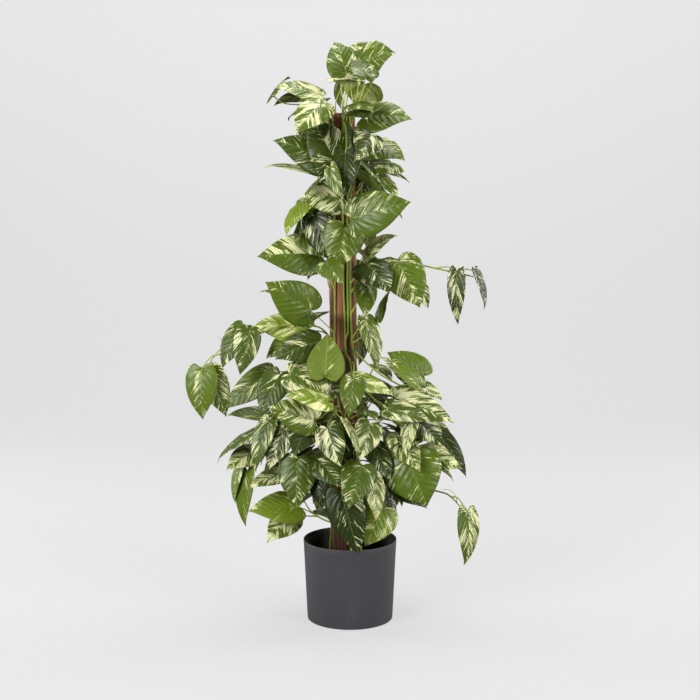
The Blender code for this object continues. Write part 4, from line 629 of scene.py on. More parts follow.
def climb_point(index, height):
    spread = 1.0 - smooth((height - FILL_TOP) / STEM_SOIL_RISE)
    radius = blend(STEM_CLIMB_RADIUS, STEM_SOIL_RADIUS, spread)
    return pole_axis(height) + outward(bearing_at(index, height)) * radius


def climb_heights(heading, low, high):
    """Heights of a stem's points, closer together where it turns round the pole."""
    heights = [low]
    height = low
    while height < high - 0.012:
        height += 0.006
        turned_by = abs(heading(height) - heading(heights[-1]))
        if turned_by > STEM_TURN_STEP or height - heights[-1] > STEM_RISE_STEP:
            heights.append(height)
    return heights + [high]


def stem_route(index):
    top = CLIMBERS[index][1]
    foot = climb_point(index, FILL_TOP)
    points = [foot - upwards(STEM_HOLE_DEPTH - 0.004), foot + upwards(0.004),
              climb_point(index, STEM_FIRST_BEND)]
    heights = climb_heights(lambda height: bearing_at(index, height), STEM_CLIMB_START, top)
    return points + [climb_point(index, height) for height in heights]


def fork_bearing(height):
    share = smooth((height - FORK_HEIGHT) / FORK_SPREAD_RISE)
    return blend(bearing_at(FORK_CLIMBER, height), FORK_BEARING, share)


def fork_route():
    heights = [FORK_HEIGHT, *FORK_BENDS]
    heights += climb_heights(fork_bearing, FORK_CLIMB_START, FORK_TOP)
    return [pole_axis(height) + outward(fork_bearing(height)) * STEM_CLIMB_RADIUS
            for height in heights]


def spot_on(route, height):
    """The point of a rising route at a height."""
    for here, there in zip(route, route[1:]):
        if here.z <= height <= there.z:
            return here.lerp(there, (height - here.z) / (there.z - here.z))
    return route[-1].copy()


def shoot_route(shoot):
    index, height, views = shoot
    root = spot_on(stem_route(index), height)
    away = outward(bearing_at(index, height))
    points = [root + away * 0.008 + upwards(0.002)] + [sight(*view) for view in views]
    return [root] + rounded(points, 2)


def leaf_frame(junction, tip, face):
    """A leaf from its junction to its tip, with its three directions."""
    along = tip - junction
    length = along.length
    along = along / length
    normal = face - along * face.dot(along)
    normal.normalize()
    return {"junction": junction, "tip": tip, "length": length, "along": along,
            "normal": normal, "across": along.cross(normal)}


def leaf_in_view(row):
    """A leaf of the table. One that is too short goes on out of sight beyond its junction."""
    across, up, tip_across, tip_up, depth, further, right, front, above, breadth = row
    if depth < CROWN_DEPTH and CROWN_SPAN[0] < up < CROWN_SPAN[1]:
        depth = CROWN_DEPTH + (depth - CROWN_DEPTH) * CROWN_FORWARD - CROWN_STEP
    leaf = leaf_frame(sight(across, up, depth), sight(tip_across, tip_up, depth + further),
                      Vector((right, -front, above)))
    if leaf["length"] < LEAST_LENGTH:
        hidden = leaf["tip"] - leaf["along"] * LEAST_LENGTH
        leaf = leaf_frame(hidden, leaf["tip"], leaf["normal"])
    leaf["breadth"] = breadth
    leaf["row"] = row
    return leaf


def blade_point(leaf, out, along):
    """A point of the upper face, out and along as shares of the leaf's length."""
    length = leaf["length"]
    out = out * leaf["breadth"]
    rise = BLADE_BEND * 4.0 * along * (1.0 - along)
    side = abs(out)
    rise += BLADE_FOLD * side - BLADE_DRAPE * side * side / BLADE_HALF
    wave = BLADE_WAVE * math.sin(9.0 * along + leaf["phase"] + (1.6 if out > 0.0 else 0.0))
    rise += wave * (side / BLADE_HALF) ** 2
    return (leaf["junction"] + leaf["along"] * (along * length)
            + leaf["across"] * (out * length) + leaf["normal"] * (rise * length))


def station_point(leaf, column, row):
    middle, out, along = BLADE_STATIONS[row]
    if column == 0:
        return blade_point(leaf, 0.0, middle)
    return blade_point(leaf, out * column, along)


def slab(leaf):
    """The blade with room kept above and below it, as a search tree."""
    verts = []
    faces = []
    rows = len(BLADE_STATIONS)
    for lift in (SLAB_ABOVE, -SLAB_BELOW):
        for row in range(rows):
            for column in (-1, 0, 1):
                verts.append(station_point(leaf, column, row) + leaf["normal"] * lift)
    size = rows * 3
    for layer in (0, size):
        for row in range(rows - 1):
            for column in (0, 1):
                corner = layer + row * 3 + column
                faces.append((corner, corner + 1, corner + 4))
                faces.append((corner, corner + 4, corner + 3))
    for row in range(rows - 1):
        for column in (0, 2):
            corner = row * 3 + column
            faces.append((corner, corner + 3, corner + 3 + size))
            faces.append((corner, corner + 3 + size, corner + size))
    for column in (0, 1):
        faces.append((column, column + 1, column + 1 + size))
        faces.append((column, column + 1 + size, column + size))
    return verts, faces


def tube_shell(points, radius):
    """A six-sided sleeve round a route, to test it against what already stands."""
    sides = 6
    verts = []
    for index, point in enumerate(points):
        ahead = points[min(index + 1, len(points) - 1)] - points[max(index - 1, 0)]
        turn = ahead.to_track_quat("Z", "Y")
        for side in range(sides):
            verts.append(point + turn @ (around(math.tau * side / sides) * (radius * 1.15)))
    return verts, halves(bands(len(points), sides))


def ring_shell(radii_heights, sides, centre):
    """A turned shell of (radius, height) rings round a centre that depends on height."""
    verts = []
    for radius, height in radii_heights:
        middle = centre(height)
        for side in range(sides):
            angle = math.tau * side / sides
            verts.append(Vector((middle.x + radius * math.cos(angle),
                                 middle.y + radius * math.sin(angle), height)))
    return verts, halves(bands(len(radii_heights), sides))


def box_of(verts):
    return ([min(vert[axis] for vert in verts) for axis in range(3)],
            [max(vert[axis] for vert in verts) for axis in range(3)])


class Standing:
    """What has its place already: search trees with their boxes and owners."""

    def __init__(self):
        self.items = []

    def add(self, shape, owner):
        low, high = box_of(shape[0])
        self.items.append((low, high, BVHTree.FromPolygons(*shape), owner))

    def meets(self, shape, skip=()):
        low, high = box_of(shape[0])
        tree = None
        for other_low, other_high, other, owner in self.items:
            if owner in skip:
                continue
            if (low[0] > other_high[0] or high[0] < other_low[0] or low[1] > other_high[1]
                    or high[1] < other_low[1] or low[2] > other_high[2] or high[2] < other_low[2]):
                continue
            if tree is None:
                tree = BVHTree.FromPolygons(*shape)
            if tree.overlap(other):
                return True
        return False


def petiole_route(node, away, leaf, arch):
    """From a node on a stem, out and up, to the underside of the blade at its junction."""
    junction = leaf["junction"]
    reach = (junction - node).length
    leave = (away * 0.8 + upwards(arch)).normalized()
    arrive = (-leaf["along"] * 0.45 - leaf["normal"] * 0.55).normalized()
    second = node + leave * (0.36 * reach)
    third = junction + arrive * (0.30 * reach)
    middle = blade_point(leaf, 0.0, BLADE_STATIONS[1][0])
    end = junction.lerp(middle, PETIOLE_SEAT / (middle - junction).length)
    end = end - leaf["normal"] * (0.5 * BLADE_THICKNESS)
    points = [node + away * 0.0001]
    for t in ((0.50,) if reach < SHORT_PETIOLE else (0.32, 0.70)):
        points.append(node * (1 - t) ** 3 + second * (3 * t * (1 - t) ** 2)
                      + third * (3 * t * t * (1 - t)) + end * t ** 3)
    points.append(end)
    return points


def node_choices(leaf, stems):
    """Places on the stems for the petiole to start, the likeliest first."""
    choices = []
    junction = leaf["junction"]
    for owner, kind, node, away in stems:
        gap = junction - node
        reach = gap.length
        if not PETIOLE_REACH[0] <= reach <= PETIOLE_REACH[1]:
            continue
        flat = Vector((gap.x, gap.y, 0.0))
        swing = 1.0 - (flat.normalized().dot(away) if flat.length > 1e-6 else 0.0)
        wish, weight = PETIOLE_WISH[kind]
        cost = abs(reach - wish) + weight * swing + PETIOLE_SINKS * max(0.0, -gap.z)
        cost += PETIOLE_RISES * max(0.0, gap.z - PETIOLE_FREE_RISE)
        choices.append((cost, owner, node, away))
    choices.sort(key=lambda choice: choice[0])
    return choices[:NODE_CHOICES]


def settle_petiole(leaf, stems, standing):
    """The first petiole that is clear of all but its own stem."""
    for _, owner, node, away in node_choices(leaf, stems):
        for arch in PETIOLE_ARCHES:
            route = petiole_route(node, away, leaf, arch)
            start = blend(route[0], route[1], 0.004 / (route[1] - route[0]).length)
            free = [start] + route[1:-1] + [blend(route[-2], route[-1], 0.80)]
            sleeve = tube_shell(free, PETIOLE_RADIUS + PETIOLE_CLEAR)
            if not standing.meets(sleeve, ((owner,),)):
                return owner, route, sleeve
    return None


def tries_in_view(leaf):
    """The same view of the leaf at other depths and turns, the nearest to it first."""
    row = leaf["row"]
    for turn in TURN_TRIES:
        for step in range(DEPTH_TRIES):
            shift = DEPTH_STEP * ((step + 1) // 2) * (1 if step % 2 else -1)
            for further in FURTHER_TRIES:
                changed = list(row)
                changed[4] += shift
                changed[5] += further
                changed[6] += turn
                trial = leaf_in_view(changed)
                trial["phase"] = leaf["phase"]
                yield trial


def inside_outline(leaf):
    """Whether the leaf stays within the plant's outline from the front."""
    for row in range(len(BLADE_STATIONS)):
        for column in (-1, 1):
            point = station_point(leaf, column, row)
            share = -EYE.y / (point.y - EYE.y)
            across = point.x * share / CM
            up = (EYE.z + (point.z - EYE.z) * share) / CM
            if up < OUTLINE[0][0] or up > OUTLINE[-1][0]:
                return False
            for lower, upper in zip(OUTLINE, OUTLINE[1:]):
                if lower[0] <= up <= upper[0]:
                    share = (up - lower[0]) / (upper[0] - lower[0])
                    left = blend(lower[1], upper[1], share)
                    right = blend(lower[2], upper[2], share)
                    if not left <= across <= right:
                        return False
    return True


def hides(leaf, seen):
    """Whether the leaf stands before anything that the front view shows."""
    for row in range(len(BLADE_STATIONS)):
        for column in (-1, 0, 1):
            point = station_point(leaf, column, row)
            ray = (point - EYE).normalized()
            for tree in seen:
                if tree.ray_cast(point, ray)[0] is not None:
                    return True
    return False


def tries_by_rule(index, draw, seen):
    """A leaf within or behind the plant: more of them low down, bearings by golden turns."""
    share = (index * 0.6180339) % 1.0
    low = share < LOW_SHARE
    height = (blend(*LOW_HEIGHTS, share / LOW_SHARE) if low
              else blend(*HIGH_HEIGHTS, (share - LOW_SHARE) / (1.0 - LOW_SHARE)))
    bearing = RULE_BEARING + RULE_FAN * ((index * 0.7548777) % 1.0)
    for attempt in range(RULE_ATTEMPTS):
        wander = 12.0 + 50.0 * attempt / RULE_ATTEMPTS
        angle = bearing + draw.uniform(-wander, wander)
        level = height + draw.uniform(-0.035, 0.035)
        radius = draw.uniform(RULE_NEAREST, LOW_FURTHEST if low else HIGH_FURTHEST)
        away = outward(angle)
        junction = pole_axis(level) + away * radius
        sink = math.radians(draw.uniform(*RULE_HANG))
        swing = outward(angle + draw.uniform(-45.0, 45.0))
        along = swing * math.cos(sink) - upwards(math.sin(sink))
        length = draw.uniform(*RULE_LENGTH) * (1.0 if attempt < RULE_ATTEMPTS / 2 else 0.85)
        face = away * math.sin(sink) + upwards(math.cos(sink) + 0.2)
        face += swing.cross(upwards(1.0)) * draw.uniform(-0.35, 0.35)
        leaf = leaf_frame(junction, junction + along * length, face)
        leaf["breadth"] = draw.uniform(*RULE_BREADTH)
        leaf["phase"] = draw.uniform(0.0, math.tau)
        if inside_outline(leaf) and not hides(leaf, seen):
            yield leaf


def nodes_along(routes):
    """Every place where a petiole may start: its stem, kind, point and way out."""
    nodes = []

    def add(index, route, height, heading):
        while height < route[-1].z - 0.004:
            if min(abs(height - tie) for _, tie in TIE_HEIGHTS) > 0.006:
                nodes.append((index, "climb", spot_on(route, height), outward(heading(height))))
            height += NODE_RISE

    for index in range(len(CLIMBERS)):
        add(index, routes[index][0][1], NODE_START, lambda height: bearing_at(index, height))
    add(FORK_CLIMBER, fork_route(), FORK_NODE_START, fork_bearing)
    for shoot in SHOOTS:
        route = shoot_route(shoot)
        for here, there in zip(route[2:], route[3:]):
            for share in (0.0, 0.33, 0.66):
                point = here.lerp(there, share)
                away = Vector((point.x, point.y, 0.0)).normalized()
                nodes.append((shoot[0], "shoot", point, away))
        nodes.append((shoot[0], "shoot", route[-1], (route[-1] - route[-2]).normalized()))
    return nodes


def arrange():
    """Stem, shoot, petiole and blade of every leaf, each clear of all the others."""
    standing = Standing()
    routes = [[("stem", stem_route(index))] for index in range(len(CLIMBERS))]
    routes[FORK_CLIMBER].append(("fork", fork_route()))
    for shoot in SHOOTS:
        routes[shoot[0]].append(("shoot", shoot_route(shoot)))
    for index, parts in enumerate(routes):
        for kind, route in parts:
            skip = 1 if kind == "shoot" else 0
            standing.add(tube_shell(route[skip:], STEM_RADIUS + 0.0006), (index,))
    stems = nodes_along(routes)
    pot = [(POT_BASE_RADIUS + 0.002, 0.001), (POT_RIM_RADIUS + 0.002, POT_HEIGHT),
           (POT_RIM_RADIUS, POT_HEIGHT + 0.002), (POT_RIM_RADIUS - POT_WALL - 0.002, POT_HEIGHT),
           (POT_RIM_RADIUS - 0.01, FILL_TOP + 0.002), (0.001, FILL_TOP + 0.002)]
    standing.add(ring_shell(pot, 32, upwards), ("pot",))
    bark = [(POLE_RADIUS + 0.0005, 0.12), (POLE_RADIUS + 0.0005, 0.6),
            (POLE_RADIUS + 0.0005, POLE_HEAD.z + 0.001), (0.001, POLE_HEAD.z + 0.002)]
    standing.add(ring_shell(bark, 20, pole_axis), ("pole",))
    for _, height in TIE_HEIGHTS:
        radius = TIE_RING_RADIUS + TIE_RADIUS + 0.0006
        ring = [(radius, height - 0.002), (radius, height + 0.002)]
        standing.add(ring_shell(ring, 20, pole_axis), ("tie",))
    near_pole = Standing()
    core = [(CANOPY_CORE, 0.15), (CANOPY_CORE, 0.6), (CANOPY_CORE, 1.035), (0.0005, 1.036)]
    near_pole.add(ring_shell(core, 16, pole_axis), ("core",))
    placed = []

    def settle(number, trials):
        """Give the leaf the first place where its blade and its petiole are clear."""
        for trial in trials:
            shape = slab(trial)
            if near_pole.meets(shape) or standing.meets(shape):
                continue
            found = settle_petiole(trial, stems, standing)
            if found is not None:
                owner, route, sleeve = found
                standing.add(shape, ("blade", number))
                standing.add(sleeve, ("petiole", number))
                placed.append({"number": number, "owner": owner, "route": route, "leaf": trial})
                return

    for number, row in enumerate(LEAVES_IN_VIEW):
        leaf = leaf_in_view(row)
        leaf["phase"] = (number * WAVE_TURN) % math.tau
        settle(number, tries_in_view(leaf))
    seen = [item[2] for item in standing.items if item[3][0] == "blade"]
    for low, high in BARE_STRETCHES:
        bare = ring_shell([(CANOPY_CORE, low), (CANOPY_CORE, high)], 12, pole_axis)
        seen.append(BVHTree.FromPolygons(*bare))
    draw = random.Random(RULE_SEED)
    for index in range(RULE_LEAVES):
        settle(len(LEAVES_IN_VIEW) + index, tries_by_rule(index, draw, seen))
    return routes, placed


class Bench:
    """Puts nodes into one tree and joins them."""

    def __init__(self, tree):
        self.tree = tree

    def put(self, kind, *values, out=0, **settings):
        node = self.tree.nodes.new(kind)
        for name, value in settings.items():
            setattr(node, name, value)
        for socket, value in zip(node.inputs, values):
            self.feed(socket, value)
        return node.outputs[out] if out is not None else node

    def feed(self, socket, value):
        if value is None:
            return
        if isinstance(value, bpy.types.NodeSocket):
            self.tree.links.new(value, socket)
        else:
            socket.default_value = value

    def maths(self, operation, *values):
        return self.put("ShaderNodeMath", *values, operation=operation)

    def plus(self, first, second):
        return self.maths("ADD", first, second)

    def minus(self, first, second):
        return self.maths("SUBTRACT", first, second)

    def times(self, first, second):
        return self.maths("MULTIPLY", first, second)

    def ramp(self, value, low, high, start=0.0, end=1.0):
        return self.put("ShaderNodeMapRange", value, low, high, start, end,
                        interpolation_type="SMOOTHSTEP")

    def tint(self, share, first, second, how="MIX"):
        node = self.tree.nodes.new("ShaderNodeMix")
        node.data_type = "RGBA"
        node.blend_type = how
        self.feed(node.inputs[0], share)
        self.feed(node.inputs[6], first)
        self.feed(node.inputs[7], second)
        return node.outputs[2]

    def place(self):
        """The place in space, the same on every piece."""
        return self.put("ShaderNodeTexCoord", out=3)

    def stretched(self, place, rise):
        return self.put("ShaderNodeMapping", place, None, None, (1.0, 1.0, rise))

    def vector(self, *parts):
        return self.put("ShaderNodeCombineXYZ", *parts)

    def noise(self, place, scale, detail=2.0, roughness=0.5):
        node = self.tree.nodes.new("ShaderNodeTexNoise")
        self.feed(node.inputs["Vector"], place)
        self.feed(node.inputs["Scale"], scale)
        self.feed(node.inputs["Detail"], detail)
        self.feed(node.inputs["Roughness"], roughness)
        return node.outputs["Fac"]

    def use(self, group, **values):
        node = self.tree.nodes.new("ShaderNodeGroup")
        node.node_tree = group
        for name, value in values.items():
            self.feed(node.inputs[name.replace("_", " ").capitalize()], value)
        return node.outputs


def effect(name, inputs, outputs):
    """An empty node group with named sockets, its bench and its two ends."""
    group = bpy.data.node_groups.new(name, "ShaderNodeTree")
    kinds = {"number": "NodeSocketFloat", "colour": "NodeSocketColor"}
    for socket, kind, value in inputs:
        made = group.interface.new_socket(socket, in_out="INPUT", socket_type=kinds[kind])
        made.default_value = value
    for socket, kind in outputs:
        group.interface.new_socket(socket, in_out="OUTPUT", socket_type=kinds[kind])
    bench = Bench(group)
    start = group.nodes.new("NodeGroupInput").outputs
    end = group.nodes.new("NodeGroupOutput").inputs
    return group, bench, start, end


def vein_group():
    """Where the midrib and the side veins of a blade lie, from a place on it."""
    group, bench, start, end = effect(
        "leaf_veins",
        [("Out", "number", 0.0), ("Along", "number", 0.0), ("Pairs", "number", SIDE_VEIN_PAIRS)],
        [("Row", "number"), ("Side vein", "number"), ("Midrib", "number"), ("Swell", "number")])
    away = bench.maths("ABSOLUTE", start["Out"])
    level = bench.minus(start["Along"], bench.times(bench.times(away, away), VEIN_CURL))
    past = bench.minus(level, bench.times(away, VEIN_SLOPE))
    turn = bench.minus(bench.maths("ARCTAN2", away, level), math.atan(1.0 / VEIN_SLOPE))
    fan = bench.times(turn, -FAN_STEP)
    pick = bench.maths("GREATER_THAN", past, 0.0)
    row = bench.plus(bench.times(past, pick), bench.times(fan, bench.minus(1.0, pick)))
    half = bench.times(bench.maths("GREATER_THAN", start["Out"], 0.0), 0.5)
    swing = bench.plus(bench.times(row, start["Pairs"]), half)
    swing = bench.maths("COSINE", bench.times(swing, math.tau))
    fade = bench.ramp(away, 0.36, 0.20, 0.15, 1.0)
    bench.feed(end["Row"], row)
    bench.feed(end["Side vein"], bench.times(bench.ramp(swing, 0.86, 0.995), fade))
    bench.feed(end["Midrib"], bench.ramp(away, 0.018, 0.006))
    bench.feed(end["Swell"], bench.times(swing, fade))
    return group


def marbling_group():
    """Cream strokes and flecks that run along a blade's side veins."""
    group, bench, start, end = effect(
        "cream_marbling",
        [("Row", "number", 0.0), ("Out", "number", 0.0), ("Seed", "number", 0.0),
         ("Amount", "number", 0.5), ("Side", "number", 0.0)],
        [("Cream", "number"), ("Pale green", "number")])
    away = bench.maths("ABSOLUTE", start["Out"])
    half = bench.maths("SIGN", start["Out"])
    seed = bench.plus(bench.times(start["Seed"], 57.0), bench.times(half, 9.3))
    marks = []
    for across, outwards, detail, roughness, weight in CREAM_MARKS:
        spot = bench.vector(bench.times(start["Row"], across), bench.times(away, outwards), seed)
        marks.append(bench.times(bench.noise(spot, 1.0, detail, roughness), weight))
    marks.append(bench.times(bench.times(half, start["Side"]), CREAM_LEAN))
    level = marks[0]
    for mark in marks[1:]:
        level = bench.plus(level, mark)
    need = bench.minus(CREAM_LEVEL, bench.times(start["Amount"], CREAM_RANGE))
    over = bench.minus(level, need)
    bench.feed(end["Cream"], bench.ramp(over, 0.0, 0.020))
    bench.feed(end["Pale green"], bench.ramp(over, -0.026, -0.006))
    return group


def cloudy_group():
    """A soft unevenness of tone from a place in space, alike for every finish."""
    group, bench, start, end = effect(
        "uneven_tone", [("Scale", "number", 60.0), ("Strength", "number", 0.2),
                        ("Colour", "colour", (0.5, 0.5, 0.5, 1.0))],
        [("Colour", "colour")])
    cloud = bench.noise(bench.place(), start["Scale"], 3.0, 0.55)
    shade = bench.plus(1.0, bench.times(bench.minus(cloud, 0.5),
                                        bench.times(start["Strength"], 2.0)))
    grey = bench.put("ShaderNodeCombineColor", shade, shade, shade)
    bench.feed(end["Colour"], bench.tint(1.0, start["Colour"], grey, "MULTIPLY"))
    return group


def new_material(name, roughness, specular=0.5):
    mat = bpy.data.materials.new(name)
    mat.use_nodes = True
    bench = Bench(mat.node_tree)
    shader = mat.node_tree.nodes["Principled BSDF"]
    shader.inputs["Roughness"].default_value = roughness
    shader.inputs["Specular IOR Level"].default_value = specular
    return mat, bench, shader


def raised(bench, shader, height, distance, strength=1.0):
    node = bench.tree.nodes.new("ShaderNodeBump")
    node.inputs["Strength"].default_value = strength
    node.inputs["Distance"].default_value = distance
    bench.feed(node.inputs["Height"], height)
    bench.feed(shader.inputs["Normal"], node.outputs["Normal"])


def carried(bench, name):
    """The three numbers that a mesh carries under a name."""
    node = bench.tree.nodes.new("ShaderNodeAttribute")
    node.attribute_name = name
    parts = bench.put("ShaderNodeSeparateXYZ", node.outputs["Vector"], out=None)
    return parts.outputs


def coloured(bench, shader, colour, roughness):
    bench.feed(shader.inputs["Base Color"], colour)
    bench.feed(shader.inputs["Roughness"], roughness)


def clouded(bench, cloudy, scale, strength, colour):
    return bench.use(cloudy, scale=scale, strength=strength, colour=colour)["Colour"]


def leaf_material(groups, face):
    mat, bench, shader = new_material(face["name"], face["roughness"], face["specular"])
    veins, marbling, cloudy = groups
    out, along, seed = carried(bench, "blade_place")
    tone, cream, side = carried(bench, "blade_look")
    lines = bench.use(veins, out=out, along=along, pairs=SIDE_VEIN_PAIRS)
    marks = bench.use(marbling, row=lines["Row"], out=out, seed=seed, amount=cream, side=side)
    # The leaf's green by its tone, which carries painted shade for leaves that lie in shade.
    dark, middle, lime = face["greens"]
    green = bench.tint(bench.ramp(tone, 0.0, 0.5), dark, middle)
    green = bench.tint(bench.ramp(tone, 0.5, 1.0), green, lime)
    green = clouded(bench, cloudy, *LEAF_CLOUD, green)
    green = bench.tint(marks["Pale green"], green, bench.tint(PALE_SHARE, green, face["pale"]))
    colour = bench.tint(marks["Cream"], green, bench.tint(tone, *face["creams"]))
    rib = bench.maths("MAXIMUM", bench.times(lines["Side vein"], 0.07),
                      bench.times(lines["Midrib"], face["midrib"]))
    coloured(bench, shader, bench.tint(rib, colour, RIB_COLOUR),
             bench.plus(face["roughness"], bench.times(marks["Cream"], 0.08)))
    grain = bench.noise(bench.vector(bench.times(lines["Row"], 60.0), bench.times(out, 60.0), seed),
                        1.0, 2.0)
    height = bench.minus(bench.times(grain, 0.25), bench.times(lines["Side vein"], face["vein"]))
    height = bench.minus(height, bench.times(lines["Swell"], face["swell"]))
    raised(bench, shader, height, LEAF_RELIEF)
    return mat


def stalk_material(cloudy):
    mat, bench, shader = new_material("pothos_stalk", 0.42)
    young, scar, _ = carried(bench, "stalk_look")
    streak = bench.noise(bench.stretched(bench.place(), 0.08), 900.0, 2.0)
    green = bench.tint(young, *STALK_GREENS)
    green = bench.tint(bench.ramp(streak, 0.45, 0.70, 0.0, 0.35), green, STALK_STREAK)
    colour = bench.tint(bench.times(scar, 0.75), green, STALK_SCAR)
    coloured(bench, shader, clouded(bench, cloudy, *STALK_CLOUD, colour),
             bench.plus(0.38, bench.times(scar, 0.30)))
    raised(bench, shader, streak, 0.0003)
    return mat


def coir_material(cloudy, fibre):
    mat, bench, shader = new_material("coir_fibre" if fibre else "coir_mat", 0.92, 0.18)
    place = bench.place()
    tall = bench.stretched(place, 0.045)
    strand = bench.noise(tall, 520.0, 3.0, 0.6)
    band = bench.noise(tall, 110.0, 2.0, 0.5)
    colour = bench.tint(bench.ramp(band, 0.34, 0.66), *COIR_BROWNS)
    colour = bench.tint(bench.ramp(strand, 0.50, 0.74, 0.0, 0.65), colour, COIR_STRAND)
    if fibre:
        colour = bench.tint(0.55, colour, COIR_FIBRE)
    colour = clouded(bench, cloudy, *COIR_CLOUD, colour)
    # Painted shade: the coir darkens towards the fill.
    height = bench.put("ShaderNodeSeparateXYZ", place, out=2)
    shade_factor = bench.ramp(height, COIR_SHADE_FULL_LEVEL, COIR_SHADE_END_LEVEL, 0.16, 1.0)
    colour = bench.tint(1.0, colour, bench.put("ShaderNodeCombineColor", shade_factor, shade_factor, shade_factor), "MULTIPLY")
    coloured(bench, shader, colour, bench.ramp(strand, 0.3, 0.7, 0.96, 0.80))
    raised(bench, shader, strand, 0.0012)
    return mat


def pot_material(cloudy):
    """Charcoal outside, with a little dust, and painted shade within the wall."""
    mat, bench, shader = new_material("charcoal_plastic", 0.55, 0.42)
    place = bench.place()
    dust = bench.noise(bench.stretched(place, 0.35), 38.0, 4.0, 0.6)
    colour = bench.tint(bench.ramp(dust, 0.50, 0.80, 0.0, 0.16), *POT_GREYS)
    colour = clouded(bench, cloudy, *POT_CLOUD, colour)
    parts = bench.put("ShaderNodeSeparateXYZ", place, out=None).outputs
    radius = bench.put("ShaderNodeVectorMath", bench.vector(parts[0], parts[1]), out=1,
                       operation="LENGTH")
    # Painted shade: darker within the wall.
    wall = bench.minus(radius, bench.times(parts[2], POT_SLOPE))
    within = bench.ramp(wall, POT_BASE_RADIUS - POT_WALL * 0.4, POT_BASE_RADIUS - POT_WALL * 0.9)
    coloured(bench, shader, bench.tint(within, colour, POT_INSIDE_SHADE),
             bench.ramp(dust, 0.35, 0.75, 0.50, 0.64))
    raised(bench, shader, bench.noise(place, 1500.0, 2.0, 0.6), 0.00012, 0.6)
    return mat


def grained_material(cloudy, finish):
    """A plain material of one grain, as the finishes above give it."""
    name, specular, stretch, grain, spread, colours, cloud, gloss, relief = finish
    mat, bench, shader = new_material(name, gloss[0], specular)
    grain = bench.noise(bench.stretched(bench.place(), stretch), *grain)
    colour = bench.tint(bench.ramp(grain, *spread), *colours)
    coloured(bench, shader, clouded(bench, cloudy, *cloud, colour),
             bench.ramp(grain, 0.3, 0.7, *gloss))
    raised(bench, shader, grain, relief)
    return mat


def stage_material():
    """Paper that glows evenly where it is seen, so that the pot's shadow on it stays faint."""
    mat, bench, shader = new_material("studio_paper", 0.9, 0.0)
    place = bench.place()
    bench.feed(shader.inputs["Base Color"], bench.tint(bench.noise(place, 0.6, 1.0), *PAPER_GREYS))
    seen = bench.put("ShaderNodeLightPath", out=0)
    height = bench.put("ShaderNodeSeparateXYZ", place, out=2)
    glow = bench.ramp(height, 0.0, PAPER_GLOW_RISE, PAPER_GLOW_LOW, PAPER_GLOW_HIGH)
    shader.inputs["Emission Color"].default_value = (1.0, 1.0, 1.0, 1.0)
    bench.feed(shader.inputs["Emission Strength"], bench.ramp(seen, 0.0, 1.0, PAPER_BOUNCE, glow))
    return mat


def linked(name, data):
    obj = bpy.data.objects.new(name, data)
    bpy.context.scene.collection.objects.link(obj)
    return obj


def piece(name, verts, faces, materials, nodes, face_slots=None, carries=()):
    """A shaded mesh that rides on the plant and stands for the named solids."""
    mesh = bpy.data.meshes.new(name)
    mesh.from_pydata([tuple(v) for v in verts], [], faces)
    for mat in materials:
        mesh.materials.append(mat)
    if face_slots is not None:
        mesh.polygons.foreach_set("material_index", np.asarray(face_slots, dtype=np.int32))
    for label, values in carries:
        layer = mesh.attributes.new(label, "FLOAT_VECTOR", "POINT")
        layer.data.foreach_set("vector", np.asarray(values, dtype=np.float32).ravel())
    mesh.shade_smooth()
    mesh.update()
    obj = linked(name, mesh)
    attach(obj, "root")
    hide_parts(*nodes)


def curve_through(values, count):
    """Evenly taken rows on a smooth curve through rows of numbers."""
    values = np.asarray(values, float)
    last = len(values) - 1
    steps = np.r_[0.0, np.cumsum(np.linalg.norm(np.diff(values[:, 1:], axis=0), axis=1))]
    fine = []
    for share in np.linspace(0.0, 1.0, count + 1):
        spot = share * steps[-1]
        index = int(min(max(np.searchsorted(steps, spot) - 1, 0), last - 1))
        t = (spot - steps[index]) / (steps[index + 1] - steps[index])
        fine.append(spline(values[max(index - 1, 0)], values[index], values[index + 1],
                           values[min(index + 2, last)], t))
    return np.array(fine)


def blade_pattern():
    """Every vertex of a blade as (out, along), and the faces of its two sides and its rim."""
    rows = curve_through(BLADE_MARGIN, BLADE_ROWS)
    spots = [(0.0, 0.0)]
    width = 2 * BLADE_COLUMNS + 1
    for middle, out, along in rows[1:-1]:
        for column in range(-BLADE_COLUMNS, BLADE_COLUMNS + 1):
            t = column / BLADE_COLUMNS
            spots.append((out * t, middle + (along - middle) * abs(t) ** 1.3))
    spots.append((0.0, 1.0))
    last = len(spots) - 1
    faces = []
    for column in range(width - 1):
        faces.append((0, 1 + column, 2 + column))
        end = last - width + column
        faces.append((last, end + 1, end))
    for row in range(BLADE_ROWS - 2):
        for column in range(width - 1):
            here = 1 + row * width + column
            faces.append((here, here + width, here + width + 1, here + 1))
    size = len(spots)
    under = [tuple(corner + size for corner in reversed(face)) for face in faces]
    left = [0] + [1 + row * width for row in range(BLADE_ROWS - 1)] + [last]
    right = [0] + [width + row * width for row in range(BLADE_ROWS - 1)] + [last]
    rim = []
    for path, turn in ((left, False), (right, True)):
        for here, there in zip(path, path[1:]):
            side = (here, here + size, there + size, there)
            rim.append(tuple(reversed(side)) if turn else side)
    return np.array(spots), faces, under, rim


def vein_rows(out, along):
    """The same rows as the leaf_veins group, for the relief."""
    away = np.abs(out)
    level = along - VEIN_CURL * away * away
    past = level - VEIN_SLOPE * away
    fan = -FAN_STEP * (np.arctan2(away, level) - math.atan(1.0 / VEIN_SLOPE))
    return np.where(past > 0.0, past, fan)


